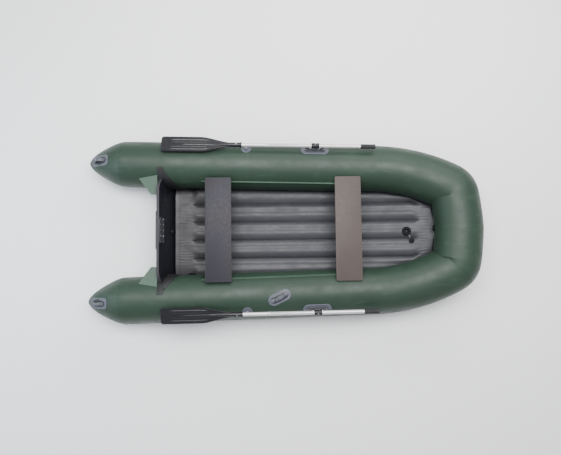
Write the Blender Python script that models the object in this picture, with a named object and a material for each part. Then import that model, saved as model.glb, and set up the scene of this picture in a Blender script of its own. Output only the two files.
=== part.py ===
"""Inflatable rowing boat with a plywood transom, an air floor, two sliding seats and two oars.

Metres. +X is the bow, +Y is port, +Z is up. The origin is on the ground under the middle of the hull.
"""

import math

import bmesh
import bpy
from mathutils import Matrix, Vector

# ---- driving dimensions -------------------------------------------------------------------
GAP = 0.0003                # between pieces that touch
SKIN_GAP = 0.0014           # under a piece that is wrapped on a round tube
PORT, STARBOARD = 1, -1
SIDES = {"port": PORT, "starboard": STARBOARD}

TUBE_R = 0.188              # buoyancy tube
TUBE_SIDES = 32
CONE_ROOT_X = -1.33         # where the stern cone starts
CONE_TIP_X = -1.60
CONE_POWER = 0.6            # how blunt the cone is
BOW_X = 1.4006              # bow tube's centre line
BOW_LIFT = 0.13             # how high the bow stands above the stern
LIFT_START_X = 0.55
LIFT_END_X = 1.40
# Headings of the centre line from the middle of the bow towards the port corner, and run lengths
BOW_RUNS = ((93.0, 0.12), (98.0, 0.125), (116.0, 0.068), (134.0, 0.068))
FLARE_HEADING = 152.0       # heading where the bow corner meets the long bend of the side
SIDE_HEADING = 178.5        # heading of the straight side tube: it widens a little towards the stern
FLARE_RADIUS = 1.281
FLARE_STEPS = 7

FLOOR_AFT_X = -0.912
FLOOR_BOTTOM_Z = 0.030
FLOOR_VALLEY_Z = 0.085
FLOOR_CROWN = 0.030
CHANNEL_EDGES = (0.0757, 0.227)     # half-widths at which the floor's sewn webs lie
SKIN_Z = 0.0235
SKIN_T = 0.003

TRANSOM_TOP_Z = 0.400
TRANSOM_BOTTOM_Z = 0.032
TRANSOM_TOP_X = -1.000
TRANSOM_RAKE = 0.2          # forward run of the board for each metre down
TRANSOM_T = 0.022
HOLDER_T = 0.012

SEAT_Z = 0.354              # underside of the boards
SEAT_T = 0.012
SEAT_HALF_WIDTH = 0.414
SEAT_DEPTH = 0.206
SEAT_X = {"aft": -0.534, "forward": 0.496}
SEAT_TRAVEL = 0.40
SEAT_TRAVEL_SIGN = {"aft": 1, "forward": -1}
RAIL_ANGLE = 140.5          # round the tube, from outboard over the top
RAIL_X = (-0.67, 0.54)

OARLOCK_X = 0.24
OARLOCK_ANGLE = 52.0
BAR_HEIGHT = 0.020          # oarlock bar above the tube
PIN_TILT = 18.0             # oarlock pin leans outboard
OAR_HEIGHT = 0.037          # shaft centre above the bar, along the pin
OAR_TOE = {"port": 1.4, "starboard": 0.6}     # stowed oar against the boat's axis, degrees
SHAFT_R = 0.015
OAR_TIP = -1.22             # along the oar from the pin
NECK_END = -0.59
SHAFT_JOINT = -0.37
BUTTON_AT = -0.385


# ---- colours: one Principled material for each object ----------------------------------------
GREEN = (0.042, 0.092, 0.058)
PALE_GREEN = (0.115, 0.190, 0.145)
FLOOR_GREY = (0.200, 0.198, 0.210)
BLACK = (0.012, 0.013, 0.018)
DARK_GREY = (0.045, 0.045, 0.055)
PATCH_GREY = (0.160, 0.170, 0.215)
SEAT_DARK = (0.085, 0.076, 0.092)
SEAT_WARM = (0.225, 0.190, 0.185)
SILVER = (0.78, 0.79, 0.80)


def give_material(obj, colour, roughness, metallic=0.0):
    """A Principled material of the object's own."""
    mat = bpy.data.materials.new(obj.name + "_material")
    mat.use_nodes = True
    shader = mat.node_tree.nodes["Principled BSDF"]
    shader.inputs["Base Color"].default_value = (*colour, 1.0)
    shader.inputs["Roughness"].default_value = roughness
    shader.inputs["Metallic"].default_value = metallic
    mat.diffuse_color = (*colour, 1.0)
    obj.data.materials.append(mat)


# ---- making solids ---------------------------------------------------------------------------
def add_solid(name, bm, colour, roughness, metallic=0.0, parent=None, smooth=True):
    """Turn a bmesh of closed bodies into a named object."""
    bmesh.ops.recalc_face_normals(bm, faces=bm.faces)
    mesh = bpy.data.meshes.new(name)
    bm.to_mesh(mesh)
    bm.free()
    if smooth:
        mesh.shade_smooth()
        mesh.set_sharp_from_angle(angle=math.radians(40))
    obj = bpy.data.objects.new(name, mesh)
    bpy.context.scene.collection.objects.link(obj)
    obj.parent = parent
    give_material(obj, colour, roughness, metallic)
    return obj


def add_empty(name, matrix, parent=None):
    """A pivot: moving pieces are parented to it."""
    empty = bpy.data.objects.new(name, None)
    bpy.context.scene.collection.objects.link(empty)
    empty.parent = parent
    empty.matrix_local = matrix
    return empty


def skin_rings(bm, rings, closed=False):
    """Join rings of points with quads; the two ends are capped unless the rings form a loop."""
    rows = [[bm.verts.new(point) for point in ring] for ring in rings]
    count = len(rows[0])
    pairs = list(zip(rows, rows[1:]))
    if closed:
        pairs.append((rows[-1], rows[0]))
    for one, two in pairs:
        for k in range(count):
            m = (k + 1) % count
            bm.faces.new((one[k], one[m], two[m], two[k]))
    if not closed:
        bm.faces.new(rows[0])
        bm.faces.new(rows[-1])


def prism(bm, outline, z0, z1, matrix=Matrix()):
    """A flat outline of (x, y) points extruded from z0 to z1."""
    skin_rings(bm, [[matrix @ Vector((x, y, z)) for x, y in outline] for z in (z0, z1)])


def turned(bm, profile, matrix=Matrix(), segments=20):
    """Spin a profile of (radius, z) points about Z. A profile that leaves the axis is a ring."""
    poles = []
    rows = []
    for radius, z in profile:
        if radius == 0.0:
            pole = bm.verts.new(matrix @ Vector((0.0, 0.0, z)))
            rows.append([pole])
            poles.append(pole)
        else:
            angles = [2 * math.pi * k / segments for k in range(segments)]
            rows.append([bm.verts.new(matrix @ Vector((radius * math.cos(a), radius * math.sin(a), z)))
                         for a in angles])
    pairs = list(zip(rows, rows[1:]))
    if not poles:
        pairs.append((rows[-1], rows[0]))
    for one, two in pairs:
        for k in range(segments):
            m = (k + 1) % segments
            corners = [one[k % len(one)], one[m % len(one)], two[m % len(two)], two[k % len(two)]]
            bm.faces.new(list(dict.fromkeys(corners)))


def rounded_rectangle(length, width, radius, steps=4):
    """Outline of a rectangle with round corners, centred on the origin."""
    points = []
    for cx, cy, start in ((1, 1, 0), (-1, 1, 90), (-1, -1, 180), (1, -1, 270)):
        for k in range(steps + 1):
            a = math.radians(start + 90 * k / steps)
            points.append((cx * (length / 2 - radius) + radius * math.cos(a),
                           cy * (width / 2 - radius) + radius * math.sin(a)))
    return points


def turn(axis, degrees):
    return Matrix.Rotation(math.radians(degrees), 4, axis)


LIE_ALONG_X = turn("Y", 90)     # takes a piece turned about Z and lays its axis along +X


def cut(target, name, bm):
    """Cut a hidden solid out of the target with an exact Boolean."""
    cutter = add_solid(name, bm, BLACK, 0.5, parent=target.parent)
    cutter.hide_render = True
    cutter.display_type = "WIRE"
    boolean = target.modifiers.new("cut", "BOOLEAN")
    boolean.operation = "DIFFERENCE"
    boolean.solver = "EXACT"
    boolean.object = cutter


# ---- the hull's centre line --------------------------------------------------------------------
def bow_lift(x):
    """How high the hull has risen at x."""
    run = max(0.0, (x - LIFT_START_X) / (LIFT_END_X - LIFT_START_X))
    return BOW_LIFT * run * run


def port_centre_line():
    """Plan points of the port half, from the middle of the bow round to the stern cone's root."""
    x, y = BOW_X, 0.0
    points = [(x, y)]
    for heading, length in BOW_RUNS:
        x += length * math.cos(math.radians(heading))
        y += length * math.sin(math.radians(heading))
        points.append((x, y))
    start = math.radians(FLARE_HEADING)
    sweep = math.radians(SIDE_HEADING) - start
    step = 2 * FLARE_RADIUS * math.sin(sweep / FLARE_STEPS / 2)
    for k in range(FLARE_STEPS):
        heading = start + sweep * (k + 0.5) / FLARE_STEPS
        x += step * math.cos(heading)
        y += step * math.sin(heading)
        points.append((x, y))
    run = x - CONE_ROOT_X
    points.append((CONE_ROOT_X, y + run * math.tan(math.radians(180.0 - SIDE_HEADING))))
    return [Vector(point) for point in points]


LINE = port_centre_line()
CORNER = 3                          # point of the line where the bow tube meets the side tube
STRAIGHT_START = LINE[-2]           # forward end of the straight part of the side
TAPER = math.tan(math.radians(180.0 - SIDE_HEADING))


class Station:
    """A mitre plane across the hull tube at one point of the centre line."""

    def __init__(self, index, nudge=0.0):
        before = LINE[max(index - 1, 0)]
        here = LINE[index]
        after = LINE[min(index + 1, len(LINE) - 1)]
        if index == 0:
            before = Vector((LINE[1].x, -LINE[1].y))
        incoming = (here - before).normalized() if before != here else (after - here).normalized()
        outgoing = (after - here).normalized() if after != here else incoming
        along = (incoming + outgoing).normalized()
        self.centre = here + along * nudge
        self.out = Vector((along.y, -along.x))
        self.stretch = 1.0 / along.dot(incoming)

    def point(self, angle, radius, side=PORT):
        """Point at an angle round the tube: 0 is outboard, 90 is the top, 180 is inboard."""
        a = math.radians(angle)
        plan = self.centre + self.out * (radius * self.stretch * math.cos(a))
        z = TUBE_R + bow_lift(self.centre.x) + radius * math.sin(a)
        return Vector((plan.x, side * plan.y, z))


def ring_angles(count=TUBE_SIDES):
    return [360.0 * k / count for k in range(count)]


def side_centre_y(x):
    """Centre line of the straight side tube and of its cone."""
    return STRAIGHT_START.y + (STRAIGHT_START.x - x) * TAPER


def side_radius(x):
    """Radius of the side tube, and of its cone behind the root."""
    if x >= CONE_ROOT_X:
        return TUBE_R
    part = (x - CONE_TIP_X) / (CONE_ROOT_X - CONE_TIP_X)
    return TUBE_R * part ** CONE_POWER


def on_side(side, x, angle, height=0.0):
    """Point on the straight side tube or its cone, a height above the fabric."""
    def surface(px, pa):
        a = math.radians(pa)
        r = side_radius(px)
        return Vector((px, side_centre_y(px) + r * math.cos(a), TUBE_R + r * math.sin(a)))

    here = surface(x, angle)
    along = surface(x + 0.002, angle) - surface(x - 0.002, angle)
    around = surface(x, angle + 0.5) - surface(x, angle - 0.5)
    point = here + along.cross(around).normalized() * -height
    return Vector((point.x, side * point.y, point.z))


def side_frame(side, x, angle, height=0.0):
    """Frame on the side tube: X towards the bow, Z out of the fabric."""
    origin = on_side(side, x, angle, height)
    z_axis = (on_side(side, x, angle, height + 0.01) - origin).normalized()
    x_axis = (on_side(side, x + 0.005, angle, height) - on_side(side, x - 0.005, angle, height)).normalized()
    y_axis = z_axis.cross(x_axis)
    frame = Matrix((x_axis, y_axis, z_axis)).transposed().to_4x4()
    frame.translation = origin
    return frame


def wrapped_patch(bm, side, x, angle, length, width, thickness, corner, yaw=0.0, columns=8, rows=6):
    """A patch with round corners, bent to the side tube."""
    layers = []
    for height in (SKIN_GAP, SKIN_GAP + thickness):
        grid = []
        for i in range(columns + 1):
            u = -math.cos(math.pi * i / columns) * length / 2
            inset = max(0.0, abs(u) - (length / 2 - corner))
            half = width / 2 - corner + math.sqrt(max(corner * corner - inset * inset, 0.0))
            half = max(half, 0.1 * width)
            line = []
            for j in range(rows + 1):
                v = half * (2 * j / rows - 1)
                c, s = math.cos(math.radians(yaw)), math.sin(math.radians(yaw))
                px = x + u * c - v * s
                across = u * s + v * c
                pa = angle - math.degrees(across / side_radius(px))
                line.append(bm.verts.new(on_side(side, px, pa, height)))
            grid.append(line)
        layers.append(grid)
    low, high = layers
    for i in range(columns):
        for j in range(rows):
            for g in (low, high):
                bm.faces.new((g[i][j], g[i + 1][j], g[i + 1][j + 1], g[i][j + 1]))
    rim = [(i, 0) for i in range(columns)] + [(columns, j) for j in range(rows)]
    rim += [(i, rows) for i in range(columns, 0, -1)] + [(0, j) for j in range(rows, 0, -1)]
    for one, two in zip(rim, rim[1:] + rim[:1]):
        bm.faces.new((low[one[0]][one[1]], low[two[0]][two[1]], high[two[0]][two[1]], high[one[0]][one[1]]))


# ---- hull --------------------------------------------------------------------------------------
def make_side_tube(name, side):
    """Side air chamber, from the blunt tip of its stern cone to the bow corner."""
    stations = [Station(CORNER, 0.0002)]
    stations += [Station(k) for k in range(CORNER + 1, len(LINE) - 1)]
    rings = [[s.point(a, TUBE_R, side) for a in ring_angles()] for s in stations]
    cone = [CONE_ROOT_X - run for run in (0.0, 0.055, 0.11, 0.165, 0.215, 0.255, 0.266)]
    for x in [LIFT_START_X, 0.10, -0.40, -0.90] + cone:
        rings.append([on_side(side, x, a) for a in ring_angles()])
    bm = bmesh.new()
    skin_rings(bm, rings)
    add_solid(name + "_side_tube", bm, GREEN, 0.45)


def make_bow_tube():
    """Raised chamber across the bow, between the two corner seams."""
    stations = [(Station(k, -0.0002 if k == CORNER else 0.0), PORT) for k in range(CORNER, -1, -1)]
    stations += [(Station(k, -0.0002 if k == CORNER else 0.0), STARBOARD) for k in range(1, CORNER + 1)]
    bm = bmesh.new()
    skin_rings(bm, [[s.point(a, TUBE_R, side) for a in ring_angles()] for s, side in stations])
    add_solid("bow_tube", bm, GREEN, 0.45)


def make_rub_strake(name, side):
    """Dark rubber strip round the outside of the tube, ending at the middle of the bow."""
    def section(point):
        low, high = -14.0, -4.0
        return [point(low, SKIN_GAP), point(high, SKIN_GAP), point(high - 1.5, 0.008), point(low + 1.5, 0.008)]

    rings = []
    for k in range(0, len(LINE) - 1):
        station = Station(k, GAP if k == 0 else 0.0)
        rings.append(section(lambda a, h, s=station: s.point(a, TUBE_R + h, side)))
    for x in (LIFT_START_X, 0.10, -0.40, -0.90, CONE_ROOT_X):
        rings.append(section(lambda a, h, x=x: on_side(side, x, a, h)))
    bm = bmesh.new()
    skin_rings(bm, rings)
    add_solid(name + "_rub_strake", bm, DARK_GREY, 0.6)


# ---- floor -------------------------------------------------------------------------------------
def floor_reach(z):
    """How far inboard of the tube's centre line a floor edge at rest height z must stop."""
    return math.sqrt(TUBE_R ** 2 - (z - TUBE_R) ** 2) + 0.0012


def floor_stations(first_x, last_index, z):
    """Plan points (x, half-width) of a floor edge at height z, from the transom forward."""
    reach = floor_reach(z)
    points = []
    for x in (first_x, -0.40, 0.10, LIFT_START_X):
        points.append((x, side_centre_y(x) - reach))
    for k in range(len(LINE) - 2, last_index - 1, -1):
        station = Station(k)
        plan = station.centre - station.out * (reach * station.stretch)
        points.append((plan.x, plan.y))
    return points


def floor_section(x, half):
    """Heights across the floor: five crowned channels between sewn webs."""
    one, two = (min(edge, half * part) for edge, part in zip(CHANNEL_EDGES, (0.34, 0.80)))
    edges = (-half, -two, -one, one, two, half)
    points = []
    for left, right in zip(edges, edges[1:]):
        for k in range(4):
            f = k / 4
            crown = FLOOR_CROWN * math.sqrt(math.sin(math.pi * f))
            points.append((left + (right - left) * f, FLOOR_VALLEY_Z + crown))
    points.append((half, FLOOR_VALLEY_Z))
    return [Vector((x, y, z + bow_lift(x))) for y, z in points]


def make_air_floor(valve_frame):
    """Inflated floor with lengthways channels, cut for its valve."""
    drop = FLOOR_VALLEY_Z - FLOOR_BOTTOM_Z
    levels = [FLOOR_VALLEY_Z - drop * k / 4 for k in range(5)]
    edges = [floor_stations(FLOOR_AFT_X, CORNER + 1, z) for z in levels]
    rings = []
    for stations in zip(*edges):
        x, half = stations[0]
        side = [Vector((x, width, z + bow_lift(x))) for (_, width), z in zip(stations[1:], levels[1:])]
        rings.append(floor_section(x, half) + side + [Vector((x, -p.y, p.z)) for p in reversed(side)])
    bm = bmesh.new()
    skin_rings(bm, rings)
    floor = add_solid("air_floor", bm, FLOOR_GREY, 0.5)
    bm = bmesh.new()
    turned(bm, [(0.0, -0.034), (0.0255, -0.034), (0.0255, 0.02), (0.0, 0.02)], valve_frame)
    cut(floor, "valve_pocket", bm)


def make_bottom_skin():
    """Hull bottom fabric under the air floor."""
    edge = floor_stations(-0.94, CORNER + 1, SKIN_Z + SKIN_T)
    bm = bmesh.new()
    rings = []
    for x, half in edge:
        low = SKIN_Z + bow_lift(x)
        half -= 0.002
        rings.append([(x, half, low + SKIN_T), (x, -half, low + SKIN_T), (x, -half, low), (x, half, low)])
    skin_rings(bm, rings)
    add_solid("bottom_skin", bm, DARK_GREY, 0.6)


# ---- transom -----------------------------------------------------------------------------------
def transom_x(z):
    """Middle plane of the raked board."""
    return TRANSOM_TOP_X + (TRANSOM_TOP_Z - z) * TRANSOM_RAKE


TRANSOM_FRAME = Matrix.Translation((TRANSOM_TOP_X, 0.0, TRANSOM_TOP_Z)) @ turn(
    "Y", -math.degrees(math.atan(TRANSOM_RAKE))) @ turn("Y", 90)
# In the transom's frame X runs down the board, Y to port and Z forward out of its inner face.
DRAIN_DOWN = 0.265          # drain valve below the top edge


def transom_outline():
    """(down, across) points of the board: straight top, cut-away corners, ends round the tubes."""
    slope = math.hypot(1.0, TRANSOM_RAKE)
    reach = TUBE_R + HOLDER_T + 0.0020
    half = [(0.0, 0.325), (0.015 * slope, 0.362)]
    lowest = -math.degrees(math.asin((TRANSOM_BOTTOM_Z - TUBE_R) / reach))
    for k in range(15):
        a = math.radians(48.0 - (48.0 + lowest) * k / 14)
        z = TUBE_R + reach * math.sin(a)
        half.append(((TRANSOM_TOP_Z - z) * slope, side_centre_y(transom_x(z)) - reach * math.cos(a)))
    return [(down, -y) for down, y in half] + [(down, y) for down, y in reversed(half)]


def make_transom():
    """Plywood board with the drain hole, and the motor plates screwed to its two faces."""
    t = TRANSOM_T / 2
    bm = bmesh.new()
    prism(bm, transom_outline(), -t, t, TRANSOM_FRAME)
    board = add_solid("transom_board", bm, BLACK, 0.5, smooth=False)
    hole = TRANSOM_FRAME @ Matrix.Translation((DRAIN_DOWN, 0.0, 0.0))
    bm = bmesh.new()
    turned(bm, [(0.0, -0.03), (0.0153, -0.03), (0.0153, 0.03), (0.0, 0.03)], hole)
    cut(board, "drain_hole", bm)

    plates = (("transom_outer_plate", 0.30, 0.17, -t - GAP - 0.009, -t - GAP),
              ("transom_inner_plate", 0.21, 0.085, t + GAP, t + GAP + 0.006))
    for name, width, height, low, high in plates:
        place = TRANSOM_FRAME @ Matrix.Translation((height / 2 + 0.004, 0.0, 0.0))
        bm = bmesh.new()
        prism(bm, rounded_rectangle(height, width, 0.012, 3), low, high, place)
        add_solid(name, bm, DARK_GREY, 0.5, smooth=False)


def make_transom_holder(name, side):
    """Moulded shoe that runs from the tube's top down its inner side and holds the board's end."""
    rings = []
    for k in range(11):
        angle = 104.0 + k * (206.0 - 104.0) / 10
        z = TUBE_R + TUBE_R * math.sin(math.radians(angle))
        aft = transom_x(z) - 0.022
        width = 0.030 + 0.085 * math.sin(math.radians(min(90.0, (angle - 104.0) * 1.5)))
        thin = SKIN_GAP + 0.004 + (HOLDER_T - 0.005) * min(1.0, (angle - 104.0) / 40.0)
        rings.append([on_side(side, aft, angle, SKIN_GAP), on_side(side, aft + width, angle, SKIN_GAP),
                      on_side(side, aft + width, angle, SKIN_GAP + 0.003), on_side(side, aft + 0.05, angle, thin),
                      on_side(side, aft, angle, thin)])
    bm = bmesh.new()
    skin_rings(bm, rings)
    add_solid(name + "_transom_holder", bm, BLACK, 0.6)


# The gusset's corners on the tube and at the back of the transom, as (x, y)
GUSSET_TUBE_EDGE = ((-1.155, 0.414), (-1.035, 0.470))
GUSSET_FREE_EDGE = ((-1.048, 0.287), (-1.0175, 0.287))
GUSSET_FREE_Z = 0.318
GUSSET_T = 0.002


def make_gusset(name, side):
    """Fabric knee: a taut flap from the tube's top to the back of the transom."""
    def tube_corner(x, y):
        z = TUBE_R + math.sqrt((TUBE_R + 2 * SKIN_GAP) ** 2 - (side_centre_y(x) - y) ** 2)
        return Vector((x, y, z + SKIN_GAP))

    starts = [tube_corner(x, y) for x, y in GUSSET_TUBE_EDGE]
    ends = [Vector((x, y, GUSSET_FREE_Z)) for x, y in GUSSET_FREE_EDGE]
    rings = []
    for t in (0.0, 0.33, 0.67, 1.0):
        aft, fore = (start.lerp(end, t) for start, end in zip(starts, ends))
        lift = Vector((0.0, 0.0, GUSSET_T))
        rings.append([Vector((p.x, side * p.y, p.z)) for p in (aft, fore, fore + lift, aft + lift)])
    bm = bmesh.new()
    skin_rings(bm, rings)
    add_solid(name + "_gusset", bm, PALE_GREEN, 0.55)


def make_drain_valve():
    """Valve body through the board, and the plug that pulls out of it forward."""
    t = TRANSOM_T / 2
    hole = TRANSOM_FRAME @ Matrix.Translation((DRAIN_DOWN, 0.0, 0.0))
    bm = bmesh.new()
    turned(bm, [(0.010, -t - 0.004), (0.015, -t - 0.004), (0.015, t + GAP), (0.023, t + GAP),
                (0.023, t + 0.005), (0.010, t + 0.005)], hole)
    add_solid("drain_valve_body", bm, BLACK, 0.45)
    pivot = add_empty("drain_plug_pivot", hole)
    bm = bmesh.new()
    turned(bm, [(0.0, -t), (0.0085, -t), (0.0095, 0.0), (0.0095, t + 0.0053), (0.018, t + 0.0053),
                (0.018, t + 0.011), (0.0, t + 0.0125)])
    add_solid("drain_valve_plug", bm, BLACK, 0.4, parent=pivot)


# ---- valves ------------------------------------------------------------------------------------
FLOOR_VALVE_X = 1.012
FLOOR_VALVE_Y = -0.018


def floor_valve_frame():
    """Frame on the crown of the floor's middle channel, Z out of the sloping floor."""
    z = FLOOR_VALLEY_Z + FLOOR_CROWN + bow_lift(FLOOR_VALVE_X)
    slope = (bow_lift(FLOOR_VALVE_X + 0.01) - bow_lift(FLOOR_VALVE_X - 0.01)) / 0.02
    place = Matrix.Translation((FLOOR_VALVE_X, FLOOR_VALVE_Y, z + 0.0012))
    return place @ turn("Y", -math.degrees(math.atan(slope)))


def make_floor_valve(frame):
    """Valve cup with a sprung stem, and its cap lying beside it."""
    pivot = add_empty("floor_valve_pivot", frame)
    bm = bmesh.new()
    turned(bm, [(0.0, -0.030), (0.025, -0.030), (0.025, 0.0), (0.0315, 0.0), (0.0315, 0.003), (0.028, 0.005),
                (0.020, 0.005), (0.020, -0.020), (0.0, -0.020)], segments=24)
    add_solid("floor_valve_body", bm, BLACK, 0.4, parent=pivot)
    bm = bmesh.new()
    turned(bm, [(0.0, -0.014), (0.011, -0.014), (0.011, -0.011), (0.004, -0.010), (0.004, -0.001),
                (0.0, 0.0)], segments=12)
    add_solid("floor_valve_stem", bm, DARK_GREY, 0.4, parent=pivot)

    cap_at = Matrix.Translation((0.040, -0.078, 0.0))
    bm = bmesh.new()
    turned(bm, [(0.0, 0.0), (0.019, 0.0), (0.019, 0.006), (0.022, 0.007), (0.021, 0.012), (0.0, 0.0135)],
           cap_at)
    add_solid("floor_valve_cap", bm, BLACK, 0.4, parent=pivot)


CHAMBER_VALVE_X = -0.77
CHAMBER_VALVE_ANGLES = {"side": 190.0, "bow": 200.0}    # just under the overhang of the tube


def make_chamber_valves():
    """One capped inflation valve for each air chamber of the hull, on its inboard side."""
    angle = CHAMBER_VALVE_ANGLES["bow"]
    frames = {"bow": Matrix.Translation(Station(0).point(angle, TUBE_R + 0.002)) @ turn("Y", 90.0 - angle)}
    for name, side in SIDES.items():
        frames[name] = side_frame(side, CHAMBER_VALVE_X, CHAMBER_VALVE_ANGLES["side"], 0.0006)
    for name, frame in frames.items():
        bm = bmesh.new()
        turned(bm, [(0.0, 0.0), (0.030, 0.0), (0.030, 0.003), (0.026, 0.005), (0.021, 0.005), (0.020, 0.012),
                    (0.0, 0.013)], frame)
        add_solid(name + "_chamber_valve", bm, DARK_GREY, 0.5)


# ---- seats -------------------------------------------------------------------------------------
def make_seat_rail(name, side):
    """Strip glued along the tube with a moulded bead that the seat hooks over."""
    profile = [(-6.0, 0.0), (-6.0, 0.0012), (-1.3, 0.0015), (-1.3, 0.006), (0.0, 0.0085), (1.3, 0.006),
               (1.3, 0.0015), (6.0, 0.0012), (6.0, 0.0), (2.0, 0.0), (-2.0, 0.0)]
    bm = bmesh.new()
    rings = [[on_side(side, x, RAIL_ANGLE + a, SKIN_GAP + h) for a, h in profile] for x in RAIL_X]
    skin_rings(bm, rings)
    add_solid(name + "_seat_rail", bm, PALE_GREEN, 0.5)


def make_seat(name):
    """Flat board with a hooked slider under each end."""
    x = SEAT_X[name]
    pivot = add_empty(name + "_seat_pivot", Matrix.Translation((x, 0.0, SEAT_Z)))
    bm = bmesh.new()
    prism(bm, rounded_rectangle(SEAT_DEPTH, 2 * SEAT_HALF_WIDTH, 0.012), 0.0, SEAT_T)
    colour = SEAT_DARK if name == "aft" else SEAT_WARM
    board = add_solid(name + "_seat_board", bm, colour, 0.55, parent=pivot, smooth=False)
    edge = board.modifiers.new("rounded_edge", "BEVEL")
    edge.width = 0.002
    edge.segments = 2
    edge.limit_method = "ANGLE"

    half_length = 0.07
    foremost = x + max(0.0, SEAT_TRAVEL * SEAT_TRAVEL_SIGN[name]) + half_length
    leg = side_centre_y(foremost) - 0.1565      # clears the bead at the forward end of the travel
    outline = [(leg, -0.049), (leg, -0.023), (leg + 0.026, -0.023), (leg + 0.026, -GAP), (leg - 0.006, -GAP),
               (leg - 0.006, -0.049)]
    for side_name, side in SIDES.items():
        bm = bmesh.new()
        skin_rings(bm, [[(end, side * y, z) for y, z in outline] for end in (-half_length, half_length)])
        add_solid(f"{name}_seat_{side_name}_slider", bm, DARK_GREY, 0.5, parent=pivot, smooth=False)


# ---- handles on the hull --------------------------------------------------------------------------
def strap_handle(bm, frame, length, width, rise, thickness=0.004):
    """A strap that lies flat at both ends and arches up between them."""
    half = length / 2
    foot = 0.22 * length
    path = [(-half, 0.0), (-half + foot, 0.0)]
    for k in range(1, 8):
        f = k / 8
        path.append((-half + foot + (length - 2 * foot) * f, rise * math.sin(math.pi * f) ** 0.55))
    path += [(half - foot, 0.0), (half, 0.0)]
    rings = []
    for x, z in path:
        low = z + 0.0006
        high = low + thickness
        rings.append([frame @ Vector(p) for p in ((x, -width / 2, low), (x, width / 2, low),
                                                  (x, width / 2, high), (x, -width / 2, high))])
    skin_rings(bm, rings)


CONE_PATCH_X = -1.484
CONE_PATCH_ANGLE = 86.0
CONE_PATCH_T = 0.003
CARRY_X = -0.057
CARRY_ANGLE = 86.0
CARRY_YAW = -25.0


def make_cone_handle(name, side):
    """Grey patch on the cone with a strap handle across its middle."""
    bm = bmesh.new()
    wrapped_patch(bm, side, CONE_PATCH_X, CONE_PATCH_ANGLE, 0.150, 0.088, CONE_PATCH_T, 0.02)
    add_solid(name + "_cone_patch", bm, PATCH_GREY, 0.5)
    frame = side_frame(side, CONE_PATCH_X, CONE_PATCH_ANGLE, SKIN_GAP + CONE_PATCH_T + 0.0012)
    bm = bmesh.new()
    strap_handle(bm, frame, 0.125, 0.026, 0.024)
    add_solid(name + "_cone_handle", bm, PATCH_GREY, 0.5)


def make_carry_handle():
    """Moulded lifting handle on the starboard tube, set at an angle."""
    bm = bmesh.new()
    wrapped_patch(bm, STARBOARD, CARRY_X, CARRY_ANGLE, 0.185, 0.090, 0.003, 0.044, CARRY_YAW, 12, 8)
    add_solid("carry_handle_patch", bm, PATCH_GREY, 0.5)
    frame = side_frame(STARBOARD, CARRY_X, CARRY_ANGLE, SKIN_GAP + 0.003 + 0.0012) @ turn("Z", -CARRY_YAW)
    bm = bmesh.new()
    strap_handle(bm, frame, 0.150, 0.030, 0.026, 0.006)
    add_solid("carry_handle_grip", bm, PATCH_GREY, 0.5)


OAR_REST_X = -0.310
OAR_REST_ANGLE = OARLOCK_ANGLE


def make_oar_rest(name, side):
    """Round patch with a hooked stud that keeps the stowed oar from rolling inboard."""
    bm = bmesh.new()
    wrapped_patch(bm, side, OAR_REST_X, OAR_REST_ANGLE, 0.082, 0.082, 0.003, 0.040, columns=10, rows=6)
    add_solid(name + "_oar_rest_patch", bm, PATCH_GREY, 0.5)
    frame = side_frame(side, OAR_REST_X, OAR_REST_ANGLE, SKIN_GAP + 0.003 + GAP)
    inboard = -side     # the frame's own Y points outboard on port and inboard on starboard
    outline = [(0.010, 0.0), (0.010, 0.009), (-0.010, 0.011), (-0.016, 0.0215), (-0.021, 0.0205),
               (-0.017, 0.009), (-0.014, 0.0)]
    bm = bmesh.new()
    skin_rings(bm, [[frame @ Vector((end, -inboard * y, z)) for y, z in outline] for end in (-0.009, 0.009)])
    add_solid(name + "_oar_rest_hook", bm, BLACK, 0.45, smooth=False)


# ---- oars and oarlocks ----------------------------------------------------------------------------
def make_oarlock(name, side):
    """Patch, bracket and bar on the tube. Returns the frame at the bar, with Z along the oar's pin."""
    bm = bmesh.new()
    wrapped_patch(bm, side, OARLOCK_X, OARLOCK_ANGLE, 0.225, 0.088, 0.003, 0.040, columns=12, rows=6)
    add_solid(name + "_oarlock_patch", bm, PATCH_GREY, 0.5)
    base = side_frame(side, OARLOCK_X, OARLOCK_ANGLE)
    foot = SKIN_GAP + 0.003 + GAP
    outline = [(-0.075, foot), (-0.066, foot + 0.005), (-0.052, foot + 0.005), (-0.052, 0.0265), (-0.044, 0.0265),
               (-0.044, foot + 0.004), (0.044, foot + 0.004), (0.044, 0.0265), (0.052, 0.0265),
               (0.052, foot + 0.005), (0.066, foot + 0.005), (0.075, foot)]
    bm = bmesh.new()
    skin_rings(bm, [[base @ Vector((x, y, z)) for x, z in outline] for y in (-0.011, 0.011)])
    add_solid(name + "_oarlock_bracket", bm, DARK_GREY, 0.5, smooth=False)
    bar_place = base @ Matrix.Translation((0.0, 0.0, BAR_HEIGHT)) @ LIE_ALONG_X
    reach = 0.044 - GAP
    bm = bmesh.new()
    turned(bm, [(0.0, -reach), (0.004, -reach), (0.004, reach), (0.0, reach)], bar_place, 12)
    add_solid(name + "_oarlock_bar", bm, SILVER, 0.3, 1.0)
    return Matrix.Translation(bar_place.translation) @ turn("X", -side * PIN_TILT)


def ring_prism(bm, outer, inner, x0, x1):
    """A prism along X with a hole along it; both loops have the same number of (y, z) points."""
    loops = [[(x, y, z) for y, z in loop] for x, loop in ((x0, outer), (x1, outer), (x1, inner), (x0, inner))]
    skin_rings(bm, loops, closed=True)


def circle(radius, count, cz=0.0):
    return [(radius * math.cos(2 * math.pi * k / count), cz + radius * math.sin(2 * math.pi * k / count))
            for k in range(count)]


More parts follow.
